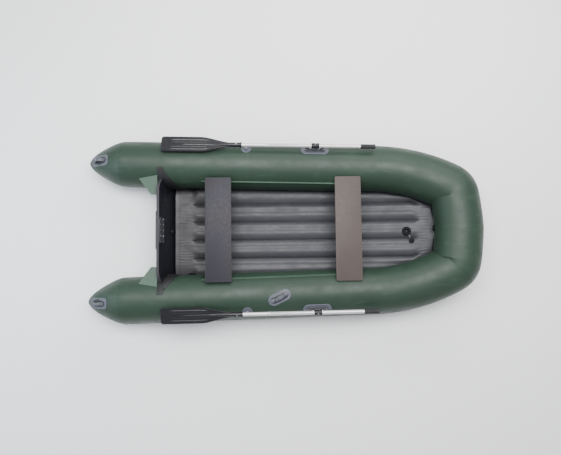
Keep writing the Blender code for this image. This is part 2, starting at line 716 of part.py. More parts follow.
def make_oar_blade(name, oar):
    """Flat blade with a raised spine that becomes the socket of the shaft."""
    socket_r = 0.0185
    sections = ((OAR_TIP, 0.050, 0.003, 0.004), (OAR_TIP + 0.006, 0.060, 0.004, 0.005),
                (OAR_TIP + 0.020, 0.0675, 0.0045, 0.006), (-0.90, 0.068, 0.0045, 0.008),
                (-0.80, 0.052, 0.0045, 0.010), (-0.725, 0.034, 0.005, 0.013), (-0.69, 0.024, 0.006, 0.016),
                (-0.665, 0.0192, 0.005, socket_r), (NECK_END, 0.0192, 0.005, socket_r))
    rings = []
    for x, w, plate, spine in sections:
        ys = (-w, -(w + spine) / 2, -spine, -0.7 * spine, 0.0, 0.7 * spine, spine, (w + spine) / 2, w)
        zs = [0.5 * plate, plate, plate]
        zs += [max(plate, 0.714 * spine), max(plate, spine), max(plate, 0.714 * spine)]
        zs += [plate, plate, 0.5 * plate]
        top = list(zip(ys, zs))
        rings.append([(x, y, z) for y, z in top] + [(x, y, -z) for y, z in reversed(top)])
    bm = bmesh.new()
    skin_rings(bm, rings)
    blade = add_solid(name + "_oar_blade", bm, DARK_GREY, 0.45, parent=oar)
    bm = bmesh.new()
    turned(bm, [(0.0, -0.66), (0.0153, -0.66), (0.0153, NECK_END + 0.01), (0.0, NECK_END + 0.01)], LIE_ALONG_X)
    cut(blade, name + "_blade_socket", bm)


def make_oar(name, side, lock_frame):
    """Oar on its clip: the clip rocks on the bar and the clamp swivels on the clip."""
    lock = add_empty(name + "_oarlock_pivot", lock_frame)
    count = 16
    clip = []
    for y, z in circle(0.010, count):
        clip.append((y * 1.3, 0.0155) if z > 0.006 else (y, z))
    bm = bmesh.new()
    ring_prism(bm, clip, circle(0.0046, count), -0.017, 0.017)
    add_solid(name + "_oarlock_clip", bm, SILVER, 0.4, parent=lock, smooth=False)

    toe = turn("Z", -side * OAR_TOE[name])
    oar = add_empty(name + "_oar_pivot", Matrix.Translation((0.0, 0.0, OAR_HEIGHT)) @ toe, lock)
    clamp = [(y, max(z, -0.0205)) for y, z in circle(0.0215, count)]
    bm = bmesh.new()
    ring_prism(bm, clamp, circle(SHAFT_R + GAP, count), -0.026, 0.026)
    add_solid(name + "_oar_clamp", bm, BLACK, 0.5, parent=oar)

    make_oar_blade(name, oar)
    bm = bmesh.new()
    turned(bm, [(0.0137, -0.655), (SHAFT_R, -0.655), (SHAFT_R, SHAFT_JOINT - GAP), (0.0137, SHAFT_JOINT - GAP)],
           LIE_ALONG_X)
    lower = add_solid(name + "_oar_lower_shaft", bm, SILVER, 0.3, 1.0, parent=oar)
    bm = bmesh.new()
    spigot = 0.0133
    turned(bm, [(0.0115, -0.47), (spigot, -0.47), (spigot, SHAFT_JOINT), (SHAFT_R, SHAFT_JOINT), (SHAFT_R, 0.46),
                (0.0115, 0.46)], LIE_ALONG_X)
    upper = add_solid(name + "_oar_upper_shaft", bm, SILVER, 0.3, 1.0, parent=oar)
    for part, tag in ((lower, "lower"), (upper, "upper")):
        bm = bmesh.new()
        turned(bm, [(0.0, 0.005), (0.0045, 0.005), (0.0045, 0.02), (0.0, 0.02)],
               Matrix.Translation((BUTTON_AT, 0.0, 0.0)), 12)
        cut(part, name + "_" + tag + "_button_hole", bm)
    bm = bmesh.new()
    turned(bm, [(0.0, 0.0), (SHAFT_R + GAP, 0.0), (SHAFT_R + GAP, -0.1), (0.018, -0.1), (0.0185, -0.095),
                (0.0185, 0.012), (0.016, 0.018), (0.0, 0.018)], Matrix.Translation((0.46, 0.0, 0.0)) @ LIE_ALONG_X)
    add_solid(name + "_oar_grip", bm, BLACK, 0.7, parent=oar)

    button = add_empty(name + "_button_pivot", Matrix.Translation((BUTTON_AT, 0.0, 0.0)), oar)
    bm = bmesh.new()
    turned(bm, [(0.0, 0.0120), (0.004, 0.0120), (0.004, 0.0172), (0.0, 0.0185)], segments=12)
    add_solid(name + "_oar_button", bm, SILVER, 0.3, 1.0, parent=button)


# ---- assembly --------------------------------------------------------------------------------------
def clear_scene():
    for obj in list(bpy.data.objects):
        bpy.data.objects.remove(obj, do_unlink=True)


def build():
    clear_scene()
    valve_frame = floor_valve_frame()
    make_bow_tube()
    make_air_floor(valve_frame)
    make_bottom_skin()
    make_transom()
    make_drain_valve()
    make_floor_valve(valve_frame)
    make_chamber_valves()
    make_carry_handle()
    for name, side in SIDES.items():
        make_side_tube(name, side)
        make_rub_strake(name, side)
        make_transom_holder(name, side)
        make_gusset(name, side)
        make_seat_rail(name, side)
        make_cone_handle(name, side)
        make_oar_rest(name, side)
        make_oar(name, side, make_oarlock(name, side))
    for name in SEAT_X:
        make_seat(name)


build()
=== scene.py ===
"""Final look of the inflatable boat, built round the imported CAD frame. Metres, +X bow, +Y port, +Z up."""

import math

import bmesh
import bpy
from mathutils import Matrix, Vector, noise


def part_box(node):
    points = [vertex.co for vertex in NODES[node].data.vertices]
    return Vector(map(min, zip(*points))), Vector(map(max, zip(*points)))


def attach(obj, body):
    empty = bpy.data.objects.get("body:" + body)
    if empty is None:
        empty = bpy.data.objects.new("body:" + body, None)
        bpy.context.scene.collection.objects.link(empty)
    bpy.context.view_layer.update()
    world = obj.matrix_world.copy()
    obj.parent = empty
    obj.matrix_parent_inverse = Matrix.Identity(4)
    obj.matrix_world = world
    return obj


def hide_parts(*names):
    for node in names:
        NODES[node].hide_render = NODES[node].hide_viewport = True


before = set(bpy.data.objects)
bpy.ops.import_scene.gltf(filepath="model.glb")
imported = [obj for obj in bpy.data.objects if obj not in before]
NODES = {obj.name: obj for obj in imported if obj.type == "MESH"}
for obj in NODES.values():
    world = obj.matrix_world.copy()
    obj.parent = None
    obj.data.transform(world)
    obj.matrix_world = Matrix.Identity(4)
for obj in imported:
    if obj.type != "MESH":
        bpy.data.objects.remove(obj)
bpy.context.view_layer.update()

# ---- driving dimensions, the same as the CAD part's ----
PORT, STARBOARD = 1, -1
SIDES = {"port": PORT, "starboard": STARBOARD}
TUBE_R = 0.188
CONE_ROOT_X = -1.33
CONE_TIP_X = -1.60
CONE_END_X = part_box("port_side_tube")[0].x
CONE_POWER = 0.6
BOW_X = 1.4006
BOW_LIFT = 0.13
LIFT_START_X, LIFT_END_X = 0.55, 1.40
BOW_RUNS = ((93.0, 0.12), (98.0, 0.125), (116.0, 0.068), (134.0, 0.068))
FLARE_HEADING, SIDE_HEADING = 152.0, 178.5
FLARE_RADIUS = 1.281
CORNER_RUN = sum(length for _, length in BOW_RUNS[:3])      # from the middle of the bow to the corner seam
TAPER = math.tan(math.radians(180.0 - SIDE_HEADING))
FLOOR_AFT_X = -0.912
FLOOR_BOTTOM_Z, FLOOR_VALLEY_Z, FLOOR_CROWN = 0.030, 0.085, 0.030
CHANNEL_EDGES = (0.0757, 0.227)
RAIL_ANGLE = 140.5
TRANSOM_TOP = Vector((-1.000, 0.0, 0.400))
TRANSOM_RAKE = 0.2
TRANSOM_T = 0.022
STRAKE_ANGLE = -9.0


# ---- camera ----
def make_camera():
    """Nearly straight above the boat, a little to starboard of its middle."""
    data = bpy.data.cameras.new("camera")
    data.sensor_width = 36.0
    data.lens = 32.23
    camera = new_object("camera", data)
    camera.location = (-0.127, -0.245, 4.315)
    camera.rotation_euler = [math.radians(a) for a in (3.72, -1.17, -0.725)]
    bpy.context.scene.camera = camera


# ---- materials ----
class Paint:
    """A Principled material with helpers that add procedural detail to it."""

    def __init__(self, name, colour, roughness, metallic=0.0, shine=0.5):
        self.mat = bpy.data.materials.new(name)
        self.mat.use_nodes = True
        self.mat.diffuse_color = (*colour, 1.0)
        self.tree = self.mat.node_tree
        self.shader = self.tree.nodes["Principled BSDF"]
        self.fill(self.shader, {"Base Color": (*colour, 1.0), "Roughness": roughness, "Metallic": metallic,
                                "Specular IOR Level": shine})
        self.place = self.add("ShaderNodeTexCoord").outputs["Object"]

    def fill(self, node, inputs):
        """Give each input socket its value, or link the output that feeds it."""
        for socket, value in inputs.items():
            if isinstance(value, bpy.types.NodeSocket):
                self.tree.links.new(value, node.inputs[socket])
            else:
                node.inputs[socket].default_value = value

    def add(self, kind, inputs=None, **settings):
        node = self.tree.nodes.new(kind)
        for key, value in settings.items():
            setattr(node, key, value)
        self.fill(node, inputs or {})
        return node

    def part(self, vector, axis):
        """One coordinate of a vector."""
        return self.add("ShaderNodeSeparateXYZ", {0: vector}).outputs[axis]

    def facing(self):
        """How far the surface faces up, from -1 to 1."""
        return self.part(self.add("ShaderNodeNewGeometry").outputs["True Normal"], "Z")

    def stretched(self, scale):
        """Object coordinates scaled along each axis."""
        return self.add("ShaderNodeMapping", {"Scale": scale, "Vector": self.place}).outputs["Vector"]

    def noise(self, scale, detail=3.0, place=None, roughness=0.55):
        inputs = {"Scale": scale, "Detail": detail, "Roughness": roughness, "Vector": place or self.place}
        return self.add("ShaderNodeTexNoise", inputs).outputs["Fac"]

    def waves(self, scale, direction, distortion=0.0):
        inputs = {"Scale": scale, "Distortion": distortion, "Vector": self.place}
        return self.add("ShaderNodeTexWave", inputs, bands_direction=direction).outputs["Fac"]

    def ramp(self, value, low, high, out_low=0.0, out_high=1.0):
        inputs = {"Value": value, "From Min": low, "From Max": high, "To Min": out_low, "To Max": out_high}
        return self.add("ShaderNodeMapRange", inputs).outputs["Result"]

    def combine(self, one, two, operation):
        return self.add("ShaderNodeMath", {0: one, 1: two}, operation=operation).outputs[0]

    def tint(self, factor, colour):
        """Lay a colour over the base colour where factor is high."""
        base = self.shader.inputs["Base Color"]
        under = base.links[0].from_socket if base.is_linked else base.default_value
        mix = self.add("ShaderNodeMix", {"Factor": factor, "A": under, "B": (*colour, 1.0)}, data_type="RGBA")
        self.fill(self.shader, {"Base Color": mix.outputs["Result"]})

    def bump(self, height, strength, distance):
        inputs = {"Height": height, "Strength": strength, "Distance": distance}
        normal = self.shader.inputs["Normal"]
        if normal.is_linked:
            inputs["Normal"] = normal.links[0].from_socket
        self.fill(self.shader, {"Normal": self.add("ShaderNodeBump", inputs).outputs["Normal"]})

    def rough(self, value, low, high):
        self.fill(self.shader, {"Roughness": self.ramp(value, 0.3, 0.7, low, high)})


def changed(colour, times, plus=0.0):
    """A paler or darker shade of a colour."""
    return tuple(min(1.0, times * part + plus) for part in colour)


def coated_fabric(name, colour, shade, roughness):
    """PVC coated fabric: a soft mottle, faint cloth under the coat, and rubbed streaks."""
    paint = Paint(name, colour, roughness, shine=0.38)
    paint.tint(paint.ramp(paint.noise(2.6, 4.0), 0.35, 0.75, 0.0, 0.55), shade)
    worn = paint.noise(5.0, 6.0, paint.stretched((1.0, 3.0, 3.0)))
    paint.tint(paint.ramp(worn, 0.58, 0.80, 0.0, 0.30), changed(colour, 1.9, 0.02))
    paint.rough(paint.noise(9.0, 5.0), roughness - 0.07, roughness + 0.09)
    cloth = paint.combine(paint.waves(210.0, "X"), paint.waves(210.0, "DIAGONAL"), "ADD")
    paint.bump(cloth, 0.10, 0.0004)
    paint.bump(paint.noise(32.0, 3.0), 0.12, 0.0016)
    return paint


def moulded(name, colour, roughness, grain=420.0, shine=0.5):
    """Moulded plastic or rubber: fine grain, handling marks and paler rubbed places."""
    paint = Paint(name, colour, roughness, shine=shine)
    paint.tint(paint.ramp(paint.noise(26.0, 6.0), 0.55, 0.78, 0.0, 0.25), changed(colour, 1.7, 0.006))
    paint.rough(paint.noise(55.0, 4.0), roughness - 0.08, roughness + 0.10)
    paint.bump(paint.noise(grain, 2.0), 0.15, 0.0005)
    return paint


def brushed_metal(name, colour, roughness, metallic=1.0):
    """Drawn aluminium or steel: lengthways drawing lines and dull handled patches."""
    paint = Paint(name, colour, roughness, metallic)
    lines = paint.noise(60.0, 3.0, paint.stretched((0.4, 40.0, 40.0)))
    paint.rough(lines, roughness - 0.06, roughness + 0.12)
    paint.tint(paint.ramp(paint.noise(14.0, 4.0), 0.5, 0.8, 0.0, 0.35), changed(colour, 0.72))
    paint.bump(lines, 0.06, 0.0003)
    return paint


def film_faced_board(name, colour, cast, edge_colour):
    """Film-faced plywood seat: a patterned film with scuffs, and bare plies on the sawn edges."""
    paint = Paint(name, colour, 0.48, shine=0.25)
    paint.tint(paint.ramp(paint.noise(3.2, 3.0), 0.35, 0.7, 0.0, 0.65), cast)
    grain = paint.noise(9.0, 5.0, paint.stretched((16.0, 1.0, 1.0)))
    paint.tint(paint.ramp(grain, 0.52, 0.75, 0.0, 0.22), changed(colour, 0.55))
    scuffs = paint.noise(44.0, 8.0, roughness=0.75)
    paint.tint(paint.ramp(scuffs, 0.66, 0.78, 0.0, 0.55), changed(colour, 1.6, 0.05))
    paint.tint(paint.ramp(paint.noise(19.0, 2.0), 0.70, 0.80, 0.0, 0.5), changed(colour, 0.45))
    upright = paint.add("ShaderNodeMath", {0: paint.facing()}, operation="ABSOLUTE").outputs[0]
    sawn = paint.ramp(upright, 0.15, 0.6, 1.0, 0.0)
    paint.tint(sawn, edge_colour)
    paint.tint(paint.combine(sawn, plies(paint, "Z", 520.0), "MULTIPLY"), changed(edge_colour, 0.45))
    paint.rough(scuffs, 0.42, 0.62)
    paint.bump(paint.noise(380.0, 2.0), 0.10, 0.0004)
    return paint


def plies(paint, direction, scale):
    """Dark glue lines between plies."""
    return paint.ramp(paint.waves(scale, direction, 0.8), 0.55, 0.9, 0.0, 0.8)


def painted_transom():
    """Black painted plywood whose top edge shows pale sealed plies."""
    paint = Paint("transom_paint", (0.007, 0.008, 0.012), 0.42, shine=0.35)
    grain = paint.noise(7.0, 5.0, paint.stretched((1.0, 1.0, 14.0)))
    paint.tint(paint.ramp(grain, 0.45, 0.8, 0.0, 0.5), (0.013, 0.014, 0.020))
    top = paint.ramp(paint.facing(), 0.45, 0.8)
    paint.tint(top, (0.045, 0.040, 0.046))
    paint.tint(paint.combine(top, plies(paint, "X", 260.0), "MULTIPLY"), (0.022, 0.018, 0.020))
    paint.rough(paint.noise(30.0, 6.0), 0.34, 0.56)
    paint.bump(grain, 0.05, 0.0005)
    return paint


# ---- mesh helpers ----
SHARP_ANGLE = math.radians(35.0)
CHAMFER_SHARE = 0.22


def new_object(name, data):
    obj = bpy.data.objects.new(name, data)
    bpy.context.scene.collection.objects.link(obj)
    return obj


def new_mesh(name, solids):
    """A mesh of solids, each (points, faces), with its faces turned outwards."""
    bm = bmesh.new()
    for points, faces in solids:
        verts = [bm.verts.new(point) for point in points]
        for face in faces:
            bm.faces.new([verts[k] for k in face])
    bmesh.ops.recalc_face_normals(bm, faces=bm.faces)
    mesh = bpy.data.meshes.new(name)
    bm.to_mesh(mesh)
    bm.free()
    return mesh


def piece(name, solids, paint, body="hull", replaces=(), sharp=SHARP_ANGLE):
    """Turn solids into one finished piece that rides on a body."""
    mesh = new_mesh(name, solids)
    mesh.shade_smooth()
    mesh.set_sharp_from_angle(angle=sharp)
    mesh.materials.append(paint.mat)
    obj = new_object(name, mesh)
    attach(obj, body)
    if replaces:
        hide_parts(*replaces)
    return obj


def skin_rings(rings, closed=False):
    """Solid through rings of points: the end rings are capped, or joined to each other if closed."""
    count = len(rings[0])
    pairs = [(row, row + 1) for row in range(len(rings) - 1)]
    if closed:
        pairs.append((len(rings) - 1, 0))
    faces = []
    for one, two in pairs:
        for k in range(count):
            m = (k + 1) % count
            faces.append((one * count + k, one * count + m, two * count + m, two * count + k))
    if not closed:
        faces.append(range(count))
        faces.append(range((len(rings) - 1) * count, len(rings) * count))
    return [point for ring in rings for point in ring], faces


def turned(profile, matrix, segments=48):
    """Spin a profile of (radius, z) points about the matrix's Z. A profile off the axis is a ring."""
    points, rows, faces = [], [], []
    for radius, z in profile:
        steps = segments if radius else 1
        rows.append(range(len(points), len(points) + steps))
        for k in range(steps):
            angle = 2 * math.pi * k / segments
            points.append(matrix @ Vector((radius * math.cos(angle), radius * math.sin(angle), z)))
    pairs = list(zip(rows, rows[1:]))
    if min(radius for radius, _ in profile) > 0.0:
        pairs.append((rows[-1], rows[0]))
    for one, two in pairs:
        for k in range(segments):
            m = (k + 1) % segments
            corners = (one[k % len(one)], one[m % len(one)], two[m % len(two)], two[k % len(two)])
            faces.append(list(dict.fromkeys(corners)))
    return points, faces


def bar_box(matrix, length, width, height):
    """A small bar with chamfered edges, standing on the matrix's XY plane and centred on it."""
    inset = CHAMFER_SHARE * min(width, height, length)
    rings = []
    for z, shrink in ((0.0, inset), (inset, 0.0), (height - inset, 0.0), (height, inset)):
        x, y = length / 2 - shrink, width / 2 - shrink
        rings.append([matrix @ Vector(p) for p in ((-x, -y, z), (x, -y, z), (x, y, z), (-x, y, z))])
    return skin_rings(rings)


def bars_around(place, count, radius, z, size, start=0.0):
    """Small bars standing in a circle round the matrix's Z."""
    step = 360.0 / count
    return [bar_box(place @ turn("Z", step * k + start) @ moved(radius, 0.0, z), *size) for k in range(count)]


def rounded(profile, radius, steps=4):
    """Round the corners of a turned profile or an outline, apart from its two end points."""
    points = [profile[0]]
    for before, here, after in zip(profile, profile[1:], profile[2:]):
        a, b, c = Vector(before), Vector(here), Vector(after)
        reach = min(radius, (a - b).length * 0.45, (c - b).length * 0.45)
        start, end = b + (a - b).normalized() * reach, b + (c - b).normalized() * reach
        for k in range(steps + 1):
            t = k / steps
            points.append(tuple((1 - t) ** 2 * start + 2 * t * (1 - t) * b + t * t * end))
    points.append(profile[-1])
    return points


def turn(axis, degrees):
    return Matrix.Rotation(math.radians(degrees), 4, axis)


def moved(x, y, z):
    return Matrix.Translation((x, y, z))


LIE_ALONG_X = turn("Y", 90)


def both_halves(half, top):
    """A section from its first half of (place, height) points and the height of its middle."""
    return [*half, (0.0, top)] + [(-place, height) for place, height in reversed(half)]


def smoothstep(low, high, value):
    t = min(1.0, max(0.0, (value - low) / (high - low)))
    return t * t * (3.0 - 2.0 * t)


def wobble(point, size, seed=0.0):
    """Smooth noise from -1 to 1 over cells of about this size."""
    return noise.noise(Vector(point) / size + Vector((seed, 2.0 * seed, -seed)))


def keep_cad(node, paint, bevel=0.0, segments=2):
    """Show a CAD node with a finished material and softened edges."""
    obj = NODES[node]
    obj.data.materials.clear()
    obj.data.materials.append(paint.mat)
    weld = obj.modifiers.new("weld", "WELD")
    weld.merge_threshold = 0.00002
    flat = obj.modifiers.new("whole_faces", "DECIMATE")
    flat.decimate_type = "DISSOLVE"
    flat.angle_limit = math.radians(0.5)
    if bevel:
        soft = obj.modifiers.new("soft_edges", "BEVEL")
        soft.width = bevel
        soft.segments = segments
        soft.limit_method = "ANGLE"
        soft.angle_limit = SHARP_ANGLE
        soft.use_clamp_overlap = True
    obj.data.shade_smooth()
    obj.modifiers.new("by_angle", "EDGE_SPLIT").split_angle = SHARP_ANGLE


# ---- the hull's centre line ----
def bow_lift(x):
    """How far the hull has risen at x: a parabola towards the bow."""
    run = max(0.0, (x - LIFT_START_X) / (LIFT_END_X - LIFT_START_X))
    return BOW_LIFT * run * run


def heading_knots():
    """(run from the middle of the bow, heading): a flat bow, a tight corner, then a long easy bend."""
    flare = FLARE_RADIUS * math.radians(SIDE_HEADING - FLARE_HEADING)
    end = CORNER_RUN + 0.06 + flare
    knots = [(0.0, 90.0), (0.05, 93.0), (CORNER_RUN - 0.055, 98.0), (CORNER_RUN + 0.045, 148.0),
             (CORNER_RUN + 0.10, FLARE_HEADING), (end, SIDE_HEADING)]
    return knots, end


KNOTS, CURVED_RUN = heading_knots()
VISUAL_BOW_X = BOW_X - 0.010      # short of the CAD's, where the photo has it


def heading_at(run):
    for (r0, h0), (r1, h1) in zip(KNOTS, KNOTS[1:]):
        if run <= r1:
            return math.radians(h0 + (h1 - h0) * (run - r0) / (r1 - r0))
    return math.radians(SIDE_HEADING)


def cad_straight_start():
    """Where the CAD's straight side begins: its own polygon of runs, added up."""
    x, y = BOW_X, 0.0
    for heading, length in BOW_RUNS:
        x += length * math.cos(math.radians(heading))
        y += length * math.sin(math.radians(heading))
    start, end = math.radians(FLARE_HEADING), math.radians(SIDE_HEADING)
    steps = 7
    step = 2 * FLARE_RADIUS * math.sin((end - start) / steps / 2)
    for k in range(steps):
        heading = start + (end - start) * (k + 0.5) / steps
        x += step * math.cos(heading)
        y += step * math.sin(heading)
    return x, y


STRAIGHT_X, STRAIGHT_Y = cad_straight_start()


def curved_line(step=0.004):
    """Dense (run, x, y, heading) samples of the curved part, ending on the CAD's straight side."""
    x, y, run = VISUAL_BOW_X, 0.0, 0.0
    samples = [(run, x, y, heading_at(0.0))]
    count = round(CURVED_RUN / step)
    for _ in range(count):
        middle = heading_at(run + step / 2)
        x += step * math.cos(middle)
        y += step * math.sin(middle)
        run += step
        samples.append((run, x, y, heading_at(run)))
    dx, dy = STRAIGHT_X - x, STRAIGHT_Y - y
    return [(r, px + dx * r / run, py + dy * r / run, h) for r, px, py, h in samples]


CURVE = curved_line()
CURVE_END = CURVE[-1][0]


def line_at(run):
    """(x, y, heading) of the hull's centre line a run from the middle of the bow, on the port side."""
    if run >= CURVE_END:
        x = STRAIGHT_X - (run - CURVE_END)
        return x, side_centre_y(x), math.radians(SIDE_HEADING)
    if run < 0.0:
        x, y, heading = line_at(-run)
        return x, -y, math.pi - heading
    place = run / CURVE_END * (len(CURVE) - 1)
    k = min(int(place), len(CURVE) - 2)
    t = place - k
    one, two = CURVE[k], CURVE[k + 1]
    return tuple(one[i] + (two[i] - one[i]) * t for i in (1, 2, 3))


def run_of_x(x):
    """The run at which the straight side reaches x."""
    return CURVE_END + STRAIGHT_X - x


def side_centre_y(x):
    """Where the straight port side's centre line stands at x."""
    return STRAIGHT_Y + (STRAIGHT_X - x) * TAPER


def fabric_radius(x):
    """Tube radius, easing into the stern cone."""
    if x > CONE_ROOT_X + 0.10:
        return TUBE_R
    cone = TUBE_R * max(0.0, (x - CONE_TIP_X) / (CONE_ROOT_X - CONE_TIP_X)) ** CONE_POWER
    width = 0.022
    h = min(1.0, max(0.0, 0.5 + 0.5 * (TUBE_R - cone) / width))
    return TUBE_R + (cone - TUBE_R) * h - width * h * (1.0 - h)


def fabric_relief(side, run, x, angle):
    """Small swellings and puckers of the inflated fabric, outwards of the true tube."""
    around = math.radians(angle)
    height = 0.0006 * wobble((run * side, math.cos(around), math.sin(around)), 0.35, 3.0)
    corner = math.exp(-((run - CORNER_RUN) / 0.10) ** 2) * max(0.0, -math.cos(around)) ** 1.5
    height -= 0.0006 * corner * (0.5 + 0.5 * math.sin(run * 210.0 + 2.5 * math.sin(3.0 * around)))
    root = math.exp(-((x - CONE_ROOT_X - 0.01) / 0.05) ** 2)
    height -= 0.0009 * root * (0.5 + 0.5 * math.sin(around * 26.0))
    return height


def hull_point(side, run, angle, height=0.0, relief=True):
    """Point on the hull tube: angle 0 is outboard, 90 the top, 180 inboard."""
    x, y, heading = line_at(run)
    radius = fabric_radius(x) + height
    if relief:
        radius += fabric_relief(side, run, x, angle)
    a = math.radians(angle)
    out = Vector((math.sin(heading), -math.cos(heading)))
    px, py = x + out.x * radius * math.cos(a), y + out.y * radius * math.cos(a)
    return Vector((px, side * py, TUBE_R + bow_lift(x) + radius * math.sin(a)))


def side_point(side, x, angle, height=0.0):
    """Point on the straight side tube or its cone, a height off the true surface."""
    def surface(px, pa):
        a = math.radians(pa)
        r = fabric_radius(px)
        return Vector((px, side_centre_y(px) + r * math.cos(a), TUBE_R + bow_lift(px) + r * math.sin(a)))

    here = surface(x, angle)
    along = surface(x + 0.002, angle) - surface(x - 0.002, angle)
    around = surface(x, angle + 0.5) - surface(x, angle - 0.5)
    point = here + along.cross(around).normalized() * -height
    return Vector((point.x, side * point.y, point.z))


def side_frame(side, x, angle, height=0.0):
    """Frame on the side tube: X towards the bow, Z out of the fabric."""
    origin = side_point(side, x, angle, height)
    z_axis = (side_point(side, x, angle, height + 0.01) - origin).normalized()
    along = side_point(side, x + 0.005, angle, height) - side_point(side, x - 0.005, angle, height)
    x_axis = along.normalized()
    matrix = Matrix((x_axis, z_axis.cross(x_axis), z_axis)).transposed().to_4x4()
    matrix.translation = origin
    return matrix


def inner_edge(z, step=0.01):
    """Plan points (x, y) where the port tube's inner wall stands at rest height z, from the bow aft."""
    reach = math.sqrt(TUBE_R ** 2 - (z - TUBE_R) ** 2) + 0.001
    points = []
    run = 0.0
    while run < run_of_x(FLOOR_AFT_X - 0.1):
        x, y, heading = line_at(run)
        points.append((x - reach * math.sin(heading), y + reach * math.cos(heading)))
        run += step
    return points


def half_width(edge, x):
    """Half-width of the cockpit at x, read along an inner edge."""
    for (x0, y0), (x1, y1) in zip(edge, edge[1:]):
        if x1 <= x <= x0:
            return y1 + (y0 - y1) * (x - x1) / max(x0 - x1, 1e-9)
    return 0.0 if x > edge[0][0] else edge[-1][1]


# ---- hull tubes ----
BAND_STEP, BAND_TURN = 0.010, 3.0     # a strip's points: metres along the tube and degrees round it
BAND_SINK = 0.0015                    # how far a strip's underside sits inside the tube
GLUE_LINE = 0.0036
# Where the mid seams stand, and where the band of painted shade on the inner walls ends aft.
MID_SEAM_X, SHADE_BAND_END_X = -0.30, -0.90
HULL_GREEN = (0.020, 0.040, 0.026)
HULL_SHADE = (0.014, 0.031, 0.021)


def run_samples(start, end, fine_spans=()):
    """Runs from start to end: close together on bends and in the fine spans, wider on the straight."""
    run, runs = start, []
    while run < end - 0.0005:
        runs.append(run)
        step = 0.010 if run < CURVE_END else 0.030
        if any(low - 0.03 <= run <= high for low, high in fine_spans):
            step = 0.004
        run += step
    return runs + [end]


def tube_rings(side, runs, count=112):
    angles = [360.0 * k / count for k in range(count)]
    return [[hull_point(side, run, angle) for angle in angles] for run in runs]


def make_tubes(fabric):
    """The three air chambers: a side tube each way with its cone, and the raised bow tube."""
    end = run_of_x(CONE_END_X)
    spans = [(CORNER_RUN - 0.10, CORNER_RUN + 0.12), (run_of_x(CONE_ROOT_X) - 0.06, end)]
    for name, side in SIDES.items():
        rings = tube_rings(side, run_samples(CORNER_RUN + 0.0004, end, spans))
        piece(name + "_side_tube_skin", [skin_rings(rings)], fabric,
              replaces=[name + "_side_tube"])
    half = run_samples(0.0, CORNER_RUN, spans)
    rings = tube_rings(STARBOARD, reversed(half)) + tube_rings(PORT, half[1:])
    piece("bow_tube_skin", [skin_rings(rings)], fabric, replaces=["bow_tube"])


def band(name, side, run0, run1, angle0, angle1, paint, height):
    """A strip of fabric welded on the tube, between two runs and two angles, with a thin rim."""
    columns = max(2, round(abs(run1 - run0) / BAND_STEP))
    rows = max(3, round(abs(angle1 - angle0) / BAND_TURN))
    runs = [run0 + (run1 - run0) * k / columns for k in range(columns + 1)]
    angles = [angle0 + (angle1 - angle0) * k / rows for k in range(rows + 1)]
    outer = [[hull_point(side, run, angle, height) for angle in angles] for run in runs]
    under = [[hull_point(side, run, angle, -BAND_SINK) for angle in angles] for run in runs]
    if abs(angle1 - angle0) > 359.99:
        solid = skin_rings([ring[:-1] for ring in [under[0]] + outer + [under[-1]]], closed=True)
    else:
        solid = skin_rings([over + low[::-1] for over, low in zip(outer, under)])
    piece(name, [solid], paint)


def seam(name, side, run, width, tape, line, angle0=0.0, angle1=360.0):
    """A tape welded round the tube with the dark line of glue along each edge."""
    band(name + "_tape", side, run - width / 2, run + width / 2, angle0, angle1, tape, 0.0010)
    for tag, at in (("aft", run + width / 2), ("fore", run - width / 2)):
        low, high = at - GLUE_LINE / 2, at + GLUE_LINE / 2
        band(f"{name}_{tag}_edge", side, low, high, angle0, angle1, line, 0.0007)


def make_seams(tape, dark_tape_and_shade, line):
    """Welded tapes over the tube's joints, the panels under its sides, and a band of painted shade low on
    each inner wall.
    """
    root = run_of_x(CONE_ROOT_X)
    seam("bow_middle_seam", PORT, 0.0, 0.030, tape, line)
    for name, side in SIDES.items():
        seam(name + "_corner_seam", side, CORNER_RUN, 0.034, tape, line)
        seam(name + "_cone_seam", side, root, 0.030, tape, line)
        seam(name + "_mid_seam", side, run_of_x(MID_SEAM_X), 0.024, tape, tape, 24.0, 150.0)
        angle = 66.0 if side == PORT else 62.0
        band(name + "_cone_panel_seam", side, root - 0.02, root + 0.16, angle, angle + 0.9, line, 0.0007)
        band(name + "_lower_panel", side, 0.002, root, -52.0, -22.0, dark_tape_and_shade, 0.0014)
        # Painted shade: a dark band low on each inner wall, next to the floor.
        band(name + "_inner_painted_shade_band", side, CORNER_RUN + 0.03, run_of_x(SHADE_BAND_END_X), 186.0, 206.0, dark_tape_and_shade,
             0.0012)


def make_strakes(rubber, bead_rubber):
    """Rubber rub strake with a rounded bead along its middle, ending at the middle of the bow."""
    half = ((-5.0, 0.0), (-4.6, 0.0030), (-3.4, 0.0038), (-2.4, 0.0040), (-1.9, 0.0078), (-1.2, 0.0094))
    section = [(STRAKE_ANGLE + a, h) for a, h in both_halves(half, 0.0100)]
    end = run_of_x(CONE_ROOT_X)
    cap = ((-0.035, 1.15), (-0.030, 1.3), (0.002, 1.3), (0.010, 1.0), (0.012, 0.3))
    for name, side in SIDES.items():
        rings = [[hull_point(side, run, a, h) for a, h in section] for run in run_samples(0.0004, end)]
        piece(name + "_strake_profile", [skin_rings(rings)], rubber,
              replaces=[name + "_rub_strake"])
        rings = [[hull_point(side, end + along, a, h * grow) for a, h in section] for along, grow in cap]
        piece(name + "_strake_end_cap", [skin_rings(rings)], bead_rubber)


# ---- air floor ----
FLOOR_FRONT_X = 1.226
WEB_SHARES = (0.34, 0.80)             # a web's largest share of the half-width, where the floor narrows
PANEL_CROWN = 0.74 * FLOOR_CROWN      # of the floor's ends, past its channels
CREASE_OFFSET, CREASE_WIDTH, CREASE_DEPTH = 0.060, 0.022, 0.0070      # to starboard of each sewn web
LEVELS = [FLOOR_VALLEY_Z - (FLOOR_VALLEY_Z - FLOOR_BOTTOM_Z) * k / 5 for k in range(6)]
EDGES = [inner_edge(z) for z in LEVELS]


